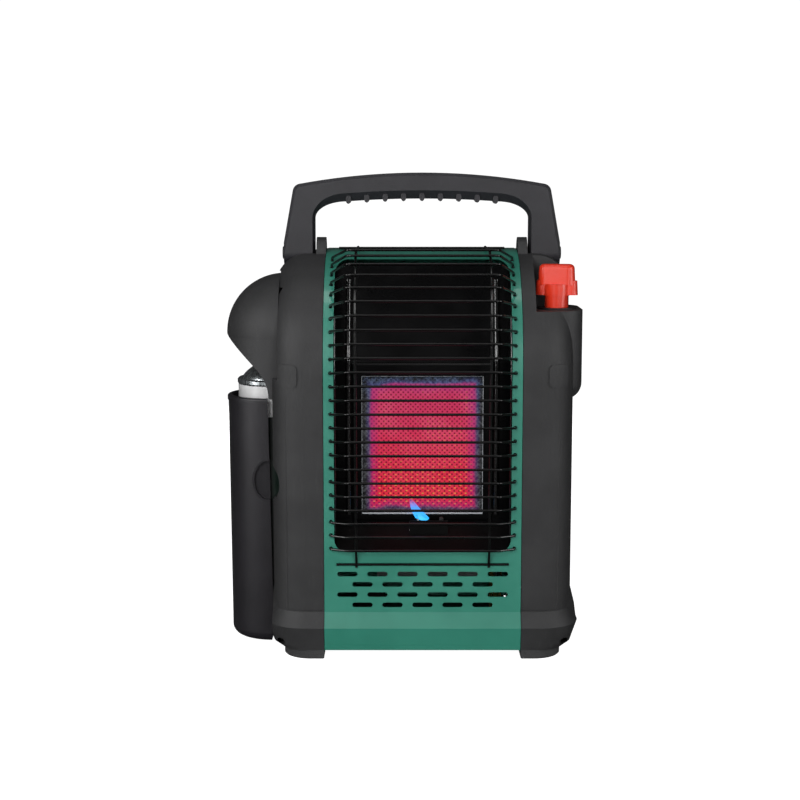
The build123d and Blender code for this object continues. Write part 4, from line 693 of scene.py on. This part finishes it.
# --------------------------------------------------------------------------- sub-assemblies
@dataclass
class SheetCore:
    """The green front and rear panels and the plates between them."""

    enamel: Finish = SprayedPaint("green_enamel", colour(50, 143, 122), rough=0.42, gloss=0.5,
                                  gloss_rough=0.07, tone_spread=0.05)
    underside: Finish = SprayedPaint("black_base_paint", colour(16, 16, 17), rough=0.45)
    plating: Finish = BareMetal("zinc_plating", colour(176, 178, 180), rough=0.35)

    def dress(self, shop: Workshop) -> None:
        """Dresses the core's nodes."""
        shop.dress(self.enamel, "front_panel", "rear_panel")
        shop.dress(self.underside, "base_plate")
        shop.dress(self.plating, "left_side_plate", "right_side_plate")


@dataclass
class Hearth:
    """The black cavity, its burner tile, trims, pilot group and wire guard."""

    tile_low: tuple[float, float, float] = (-60.0, -62.0, 128.0)
    tile_high: tuple[float, float, float] = (60.0, -49.0, 266.0)
    glow_centre: tuple[float, float] = (0.5, 196.5)
    glow_half: tuple[float, float] = (50.5, 59.5)
    window_half: float = 57.0
    window_low: float = 131.9
    window_high: float = 263.3
    trim: float = 1.3
    trim_y: float = -66.2
    trim_side: float = 0.5
    trim_depth: float = 0.9
    bead_x: float = 69.5
    bead_path: tuple[tuple[float, float], ...] = ((-68.0, 132.0), (-68.0, 278.0), (-64.5, 292.0),
                                                  (-42.0, 352.0))
    bead_radius: float = 2.6
    lining_x: float = 81.2
    lining_path: tuple[tuple[float, float], ...] = ((-95.6, 116.0), (-95.6, 262.0), (-94.6, 284.0),
                                                    (-91.0, 302.0), (-85.0, 319.0))
    lining_radius: float = 0.8
    flame_root: tuple[float, float, float] = (2.2, -71.0, 126.2)
    flame_tip: tuple[float, float, float] = (-11.5, -68.5, 148.5)
    flame_width: float = 12.0
    enamel: Finish = SprayedPaint("black_hearth_enamel", colour(4, 4, 5), rough=0.3, gloss=0.1,
                                  gloss_rough=0.06, shine=0.12)
    matt: Finish = SprayedPaint("matt_lip_enamel", colour(5, 5, 5), rough=0.5, gloss=0.0, shine=0.12)
    bead: Finish = SprayedPaint("rolled_edge_enamel", colour(7, 7, 7), rough=0.2, gloss=1.0,
                                gloss_rough=0.04)
    wire_enamel: Finish = SprayedPaint("black_wire_enamel", colour(4, 4, 4), rough=0.3, gloss=0.4,
                                       gloss_rough=0.05, shine=0.2)
    soot: Finish = SprayedPaint("sooted_steel", colour(14, 13, 13), rough=0.6, gloss=0.05)
    brass: Finish = BareMetal("turned_brass", colour(196, 160, 92), rough=0.3)
    pipe: Finish = BareMetal("drawn_pipe", colour(205, 207, 210), rough=0.22)
    fibre: Finish = Rubber("gasket_fibre", colour(190, 186, 172), rough=0.9)
    porcelain: Finish = SprayedPaint("porcelain", colour(226, 224, 214), rough=0.25)
    pale: Finish = SprayedPaint("retainer_glaze", colour(206, 212, 218), rough=0.4, gloss=0.3)
    aluminised: Finish = SprayedPaint("aluminised_steel", colour(150, 152, 154), rough=0.4, gloss=0.4,
                                      gloss_rough=0.2)

    def dress(self, shop: Workshop) -> None:
        """Dresses the hearth's nodes and builds its own pieces."""
        shop.dress(self.enamel, "hearth_plate", "burner_frame", "reflector_hood", "reflector_left",
                   "reflector_right")
        shop.dress(self.matt, "reflector_lip", "pilot_bracket")
        shop.dress(self.wire_enamel, "guard")
        shop.dress(self.aluminised, "burner_tray", "mixing_tube", "heat_shield")
        shop.dress(self.soot, "pilot_nozzle", "thermocouple")
        shop.dress(self.brass, "jet_holder")
        shop.dress(self.pipe, "supply_tube", "burner_tube", "pilot_tube")
        shop.dress(self.fibre, "tile_gasket")
        shop.dress(self.porcelain, "spark_electrode")
        self.tile(shop)
        self.edge_trim(shop)
        self.side_beads(shop)
        self.flame(shop)

    def tile(self, shop: Workshop) -> None:
        """Builds the perforated tile, with a shallow rim round its hot field."""
        mesh = bmesh.new()
        slab(mesh, at(*self.tile_low), at(*self.tile_high))
        front = min(mesh.faces, key=lambda face: face.calc_center_median().y)
        bmesh.ops.inset_region(mesh, faces=[front], thickness=6.0 * MM, depth=0.0)
        bmesh.ops.inset_region(mesh, faces=[front], thickness=1.2 * MM, depth=-0.8 * MM)
        round_edges(mesh, [edge for edge in mesh.edges if edge.calc_face_angle(0.0) > 1.4], 0.8 * MM, 2)
        centre = at(self.glow_centre[0], 0.0, self.glow_centre[1])
        finish = GlowingTile("glowing_tile", colour(90, 90, 92), 0.85, centre=(centre.x, centre.z),
                             half=(self.glow_half[0] * MM, self.glow_half[1] * MM))
        shop.piece("burner_tile", mesh, finish, "base", ["ceramic_tile"])

    def edge_trim(self, shop: Workshop) -> None:
        """Builds the bright retaining strip round the tile's window."""
        mesh = bmesh.new()
        left, right, low, high = -self.window_half, self.window_half, self.window_low, self.window_high
        foot, head = low + self.trim, high - self.trim_side
        for bounds in ((left, low, right, foot), (left, head, right, high),
                       (left, foot, left + self.trim_side, head),
                       (right - self.trim_side, foot, right, head)):
            slab(mesh, at(bounds[0], self.trim_y - self.trim_depth, bounds[1]),
                 at(bounds[2], self.trim_y, bounds[3]))
        shop.piece("tile_retainer", mesh, self.pale, "base")

    def side_beads(self, shop: Workshop) -> None:
        """Builds the rolled beads that stiffen the hearth's sides and the window's upright edges."""
        for side, name in ((-1.0, "left"), (1.0, "right")):
            mesh = bmesh.new()
            self.rod(mesh, self.bead_x * side, self.bead_path, self.bead_radius)
            self.rod(mesh, self.lining_x * side, self.lining_path, self.lining_radius)
            shop.piece(f"hearth_beads_{name}", mesh, self.bead, "base", smooth_below=60.0)

    def rod(self, mesh: bmesh.types.BMesh, x: float, path: Sequence[tuple[float, float]],
            radius: float) -> None:
        """Runs a round rod up a path of (y, z) points at one x.

        Args:
            mesh: The bmesh to add to.
            x: The rod's place across the body, in millimetres.
            path: The (y, z) points of its centre line, in millimetres.
            radius: Its radius in millimetres.
        """
        ring = bmesh.ops.create_circle(mesh, cap_ends=True, segments=16, radius=radius * MM)["verts"]
        bmesh.ops.translate(mesh, verts=ring, vec=at(x, *path[0]))
        end = [face for face in mesh.faces if all(vert in ring for vert in face.verts)]
        for start, stop in zip(path, path[1:]):
            step = Vector((0.0, (stop[0] - start[0]) * MM, (stop[1] - start[1]) * MM))
            grown = bmesh.ops.extrude_face_region(mesh, geom=end)["geom"]
            moved = [item for item in grown if isinstance(item, bmesh.types.BMVert)]
            bmesh.ops.translate(mesh, verts=moved, vec=step)
            end = [item for item in grown if isinstance(item, bmesh.types.BMFace)]

    def flame(self, shop: Workshop) -> None:
        """Builds the pilot flame: a leaning tongue with a bright root."""
        root, tip = at(*self.flame_root), at(*self.flame_tip)
        for name, share, reach, finish in (
            ("pilot_flame", 1.0, 1.0,
             GasFlame("pilot_flame_blue", colour(40, 176, 255), 1.0, tip=colour(96, 140, 245),
                      low_z=root.z, high_z=tip.z, power=1.5, density=0.85)),
            ("pilot_flame_core", 0.5, 0.42,
             GasFlame("pilot_flame_white", colour(130, 235, 255), 1.0, tip=colour(60, 180, 255),
                      low_z=root.z, high_z=root.z + (tip.z - root.z) * 0.42, power=1.3, density=0.9)),
        ):
            mesh = bmesh.new()
            made = bmesh.ops.create_uvsphere(mesh, u_segments=24, v_segments=18, radius=0.5)["verts"]
            for vert in made:
                rise = vert.co.z + 0.5
                swell = min(1.0, rise / 0.12) ** 0.5 * (1.0 - rise) ** 0.75
                angle = math.atan2(vert.co.y, vert.co.x)
                spread = self.flame_width * MM * 0.6 * share * swell
                along = root.lerp(tip, rise * reach)
                lean = Vector((-0.0016 * math.sin(math.pi * rise), 0.0, 0.0))
                vert.co = along + lean + Vector((math.cos(angle) * spread, math.sin(angle) * spread * 0.5, 0.0))
            shop.piece(name, mesh, finish, "base", smooth_below=180.0)


@dataclass
class EndCaps:
    """The two moulded end caps, the regulator hood, the feet and the corner screws."""

    plastic: Finish = MouldedPlastic("grey_moulding", colour(54, 54, 55), rough=0.56, tone_spread=0.12,
                                     rub=0.25, shine=0.3, grain_depth=0.00006)
    foot: Finish = Rubber("foot_rubber", colour(50, 50, 51), rough=0.75)
    screw: Finish = SprayedPaint("black_screw_oxide", colour(28, 28, 30), rough=0.4)

    def dress(self, shop: Workshop) -> None:
        """Dresses the caps' nodes."""
        shop.dress(self.plastic, "left_housing", "right_housing", "regulator_hood")
        shop.dress(self.foot, "foot_front_left", "foot_front_right", "foot_rear_left", "foot_rear_right")
        shop.dress(self.screw, "screw_left", "screw_right")


@dataclass
class CartridgeBay:
    """The gas cartridge, its regulator and the half-round door."""

    door: Finish = MouldedPlastic("door_moulding", colour(33, 31, 36), rough=0.42, tone_spread=0.12,
                                  rub=0.3, shine=0.4, grain_depth=0.00004)
    # The can's light band is its own colour; the dark body below it is painted shade for the bay.
    shell: Finish = TwoToneTinPaintedShade("light_band_tin_painted_shade", colour(254, 254, 254), 0.3, band_z=0.222,
                               body=colour(20, 34, 28))
    tinplate: Finish = BareMetal("tinplate", colour(190, 196, 198), rough=0.28)
    alloy: Finish = BareMetal("die_cast_alloy", colour(150, 152, 154), rough=0.45)
    brass: Finish = BareMetal("turned_brass", colour(196, 160, 92), rough=0.3)
    plating: Finish = BareMetal("zinc_plating", colour(176, 178, 180), rough=0.35)

    def dress(self, shop: Workshop) -> None:
        """Dresses the bay's nodes."""
        shop.dress(self.door, "cartridge_door")
        shop.dress(self.shell, "cartridge_can")
        shop.dress(self.tinplate, "cartridge_shoulder")
        shop.dress(self.brass, "cartridge_valve", "cartridge_socket")
        shop.dress(self.alloy, "regulator_body", "regulator_cap")
        shop.dress(self.plating, "door_hinge_pin")


@dataclass
class Controls:
    """The knob, its dial ring, the valve and the igniter."""

    red: Finish = MouldedPlastic("red_moulding", colour(255, 62, 36), rough=0.3, grain_depth=0.00002,
                                 tone_spread=0.05, rub=0.1, shine=0.45)
    black: Finish = MouldedPlastic("black_moulding", colour(24, 24, 25), rough=0.5, shine=0.3)
    white: Finish = MouldedPlastic("white_moulding", colour(220, 220, 216), rough=0.4, tone_spread=0.04)
    alloy: Finish = BareMetal("die_cast_alloy", colour(150, 152, 154), rough=0.45)
    brass: Finish = BareMetal("turned_brass", colour(196, 160, 92), rough=0.3)
    plating: Finish = BareMetal("zinc_plating", colour(176, 178, 180), rough=0.35)

    spring_axis: tuple[float, float] = (126.5, -44.0)
    spring_span: tuple[float, float] = (302.7, 310.3)
    spring_radius: float = 5.4
    spring_wire: float = 0.6
    spring_turns: float = 3.17
    spring_steps: int = 24
    spring_sides: int = 10
    spring_keep: float = 0.54

    def dress(self, shop: Workshop) -> None:
        """Dresses the controls' nodes."""
        shop.dress(self.red, "control_knob")
        shop.dress(self.black, "igniter_body", "dial_ring", "tilt_switch")
        shop.dress(self.white, "igniter_plunger")
        shop.dress(self.alloy, "valve_body")
        shop.dress(self.brass, "valve_plug")
        shop.dress(self.plating, "valve_spindle", "push_yoke")
        self.spring(shop)

    def spring(self, shop: Workshop) -> None:
        """Builds the knob's spring as a fixed coil that rides on the plug's body.

        Args:
            shop: The workshop that turns the mesh into a piece.
        """
        mesh = bmesh.new()
        x, y = self.spring_axis
        low, high = self.spring_span
        steps = round(self.spring_turns * self.spring_steps)
        upright = Vector((0.0, 0.0, 1.0))
        rings = []
        for step in range(steps + 1):
            angle = math.tau * self.spring_turns * step / steps
            out = Vector((math.cos(angle), math.sin(angle), 0.0))
            middle = at(x, y, low + (high - low) * step / steps) + out * self.spring_radius * MM
            turns = [math.tau * side / self.spring_sides for side in range(self.spring_sides)]
            rings.append([mesh.verts.new(middle + (out * math.cos(turn) + upright * math.sin(turn))
                                         * self.spring_wire * MM) for turn in turns])
        for first, second in zip(rings, rings[1:]):
            for side in range(self.spring_sides):
                after = (side + 1) % self.spring_sides
                mesh.faces.new((first[side], first[after], second[after], second[side]))
        for end in (rings[0], rings[-1]):
            mesh.faces.new(end)
        made = shop.piece("push_spring", mesh, self.plating, "plug", ["knob_spring"], 60.0)
        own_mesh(made)


@dataclass
class CarryHandle:
    """The folding handle and its two pins."""

    plastic: Finish = MouldedPlastic("handle_moulding", colour(44, 43, 48), rough=0.46, tone_spread=0.12,
                                     rub=0.3, shine=0.4, grain_depth=0.00006)

    def dress(self, shop: Workshop) -> None:
        """Dresses the handle and its pins."""
        shop.dress(self.plastic, "handle", "handle_pin_left", "handle_pin_right")


# --------------------------------------------------------------------------- studio
class Reach(Enum):
    """What a light acts on."""

    ALL = "everything"
    MATT = "matt light alone"
    SHINE = "reflections alone"


@dataclass
class Studio:
    """A plain pale floor, soft light and the camera."""

    eye: tuple[float, float, float] = (-21.0, -1550.0, 449.0)
    pitch: float = 8.0
    lens: float = 72.0
    floor_half: float = 6.0
    surround: float = 0.1
    surround_shine: float = 0.04
    paper_glow: float = 1.0
    paper_shine: float = 0.12
    softboxes: tuple[tuple[str, tuple[float, float, float], tuple[float, float, float],
                           tuple[float, float], float, Reach], ...] = (
        ("key_light", (-0.65, -1.5, 0.8), (0.0, 0.0, 0.2), (0.7, 0.8), 11.5, Reach.ALL),
        ("fill_light", (0.62, -1.6, 0.6), (0.0, 0.0, 0.2), (0.7, 0.8), 6.5, Reach.ALL),
        ("top_light", (-0.3, -0.5, 1.55), (0.0, 0.0, 0.2), (1.0, 0.7), 1.8, Reach.ALL),
        ("top_shine", (0.05, -0.35, 1.5), (0.0, 0.0, 0.25), (1.2, 0.3), 3.0, Reach.SHINE),
        ("strip_left", (-1.25, -0.75, 0.62), (0.0, 0.0, 0.3), (0.4, 1.0), 13.0, Reach.SHINE),
        ("strip_right", (1.3, -0.75, 0.62), (0.0, 0.0, 0.3), (0.4, 1.0), 11.0, Reach.SHINE),
        ("rear_fill", (-0.5, 1.5, 0.3), (0.0, 0.0, 0.2), (1.2, 0.5), 9.0, Reach.MATT),
    )

    def build(self) -> None:
        """Builds the floor, the lights and the camera."""
        scene = bpy.context.scene
        scene.view_settings.view_transform = "Standard"
        self.floor()
        self.sky(scene)
        for name, place, aim, size, power, reach in self.softboxes:
            self.softbox(name, Vector(place), Vector(aim), size, power, reach)
        lens = bpy.data.cameras.new("camera")
        lens.lens = self.lens
        lens.sensor_width = 36.0
        lens.clip_end = 50.0
        camera = bpy.data.objects.new("camera", lens)
        scene.collection.objects.link(camera)
        camera.location = at(*self.eye)
        camera.rotation_euler = (math.radians(90.0 - self.pitch), 0.0, 0.0)
        scene.camera = camera

    def floor(self) -> None:
        """Builds the floor: white paper, lit evenly enough to lose its edge in the background."""
        mesh = bmesh.new()
        bmesh.ops.create_grid(mesh, x_segments=1, y_segments=1, size=self.floor_half)
        data = bpy.data.meshes.new("floor")
        mesh.to_mesh(data)
        mesh.free()
        paper = bpy.data.materials.new("studio_paper")
        paper.use_nodes = True
        wiring = Wiring(paper.node_tree)
        shader = paper.node_tree.nodes["Principled BSDF"]
        shader.inputs["Roughness"].default_value = 0.9
        shader.inputs["Specular IOR Level"].default_value = 0.1
        shader.inputs["Emission Color"].default_value = (1.0, 1.0, 1.0, 1.0)
        path = wiring.node("ShaderNodeLightPath")
        wiring.link(wiring.maths("MULTIPLY", path.outputs["Is Camera Ray"], self.paper_glow),
                    shader.inputs["Emission Strength"])
        shine = (self.paper_shine,) * 3 + (1.0,)
        wiring.link(wiring.mix(path.outputs["Is Glossy Ray"], (0.9, 0.9, 0.9, 1.0), shine),
                    shader.inputs["Base Color"])
        data.materials.append(paper)
        floor = bpy.data.objects.new("floor", data)
        bpy.context.scene.collection.objects.link(floor)

    def sky(self, scene: bpy.types.Scene) -> None:
        """Builds the surroundings: white to look at, and a dimmer grey as a light."""
        world = bpy.data.worlds.new("studio")
        world.use_nodes = True
        wiring = Wiring(world.node_tree)
        back = world.node_tree.nodes["Background"]
        back.inputs["Color"].default_value = (1.0, 1.0, 1.0, 1.0)
        path = wiring.node("ShaderNodeLightPath")
        soft = wiring.spread(path.outputs["Is Glossy Ray"], 0.0, 1.0, self.surround, self.surround_shine,
                             smooth=False)
        seen = wiring.maths("MULTIPLY", path.outputs["Is Camera Ray"], 1.05)
        wiring.link(wiring.maths("MAXIMUM", soft, seen), back.inputs["Strength"])
        scene.world = world

    def softbox(self, name: str, place: Vector, aim: Vector, size: tuple[float, float], power: float,
                reach: Reach) -> None:
        """Adds one soft light.

        Args:
            name: The light's name.
            place: Where it hangs.
            aim: What it points at.
            size: Its width and height.
            power: Its power in watts.
            reach: What it acts on.
        """
        light = bpy.data.lights.new(name, "AREA")
        light.shape = "RECTANGLE"
        light.size, light.size_y = size
        light.energy = power
        made = bpy.data.objects.new(name, light)
        bpy.context.scene.collection.objects.link(made)
        made.visible_diffuse = reach is not Reach.SHINE
        made.visible_glossy = reach is not Reach.MATT
        made.location = place
        made.rotation_euler = (aim - place).to_track_quat("-Z", "Y").to_euler()


def main() -> None:
    """Loads the frame, dresses every sub-assembly and sets up the studio."""
    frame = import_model()
    shop = Workshop(frame)
    for assembly in (SheetCore(), Hearth(), EndCaps(), CartridgeBay(), Controls(), CarryHandle()):
        assembly.dress(shop)
        LOG.info("finished %s", type(assembly).__name__)
    Studio().build()
    bpy.context.view_layer.update()


if __name__ == "__main__":
    logging.basicConfig(level=logging.INFO, format="%(name)s: %(message)s")
    main()
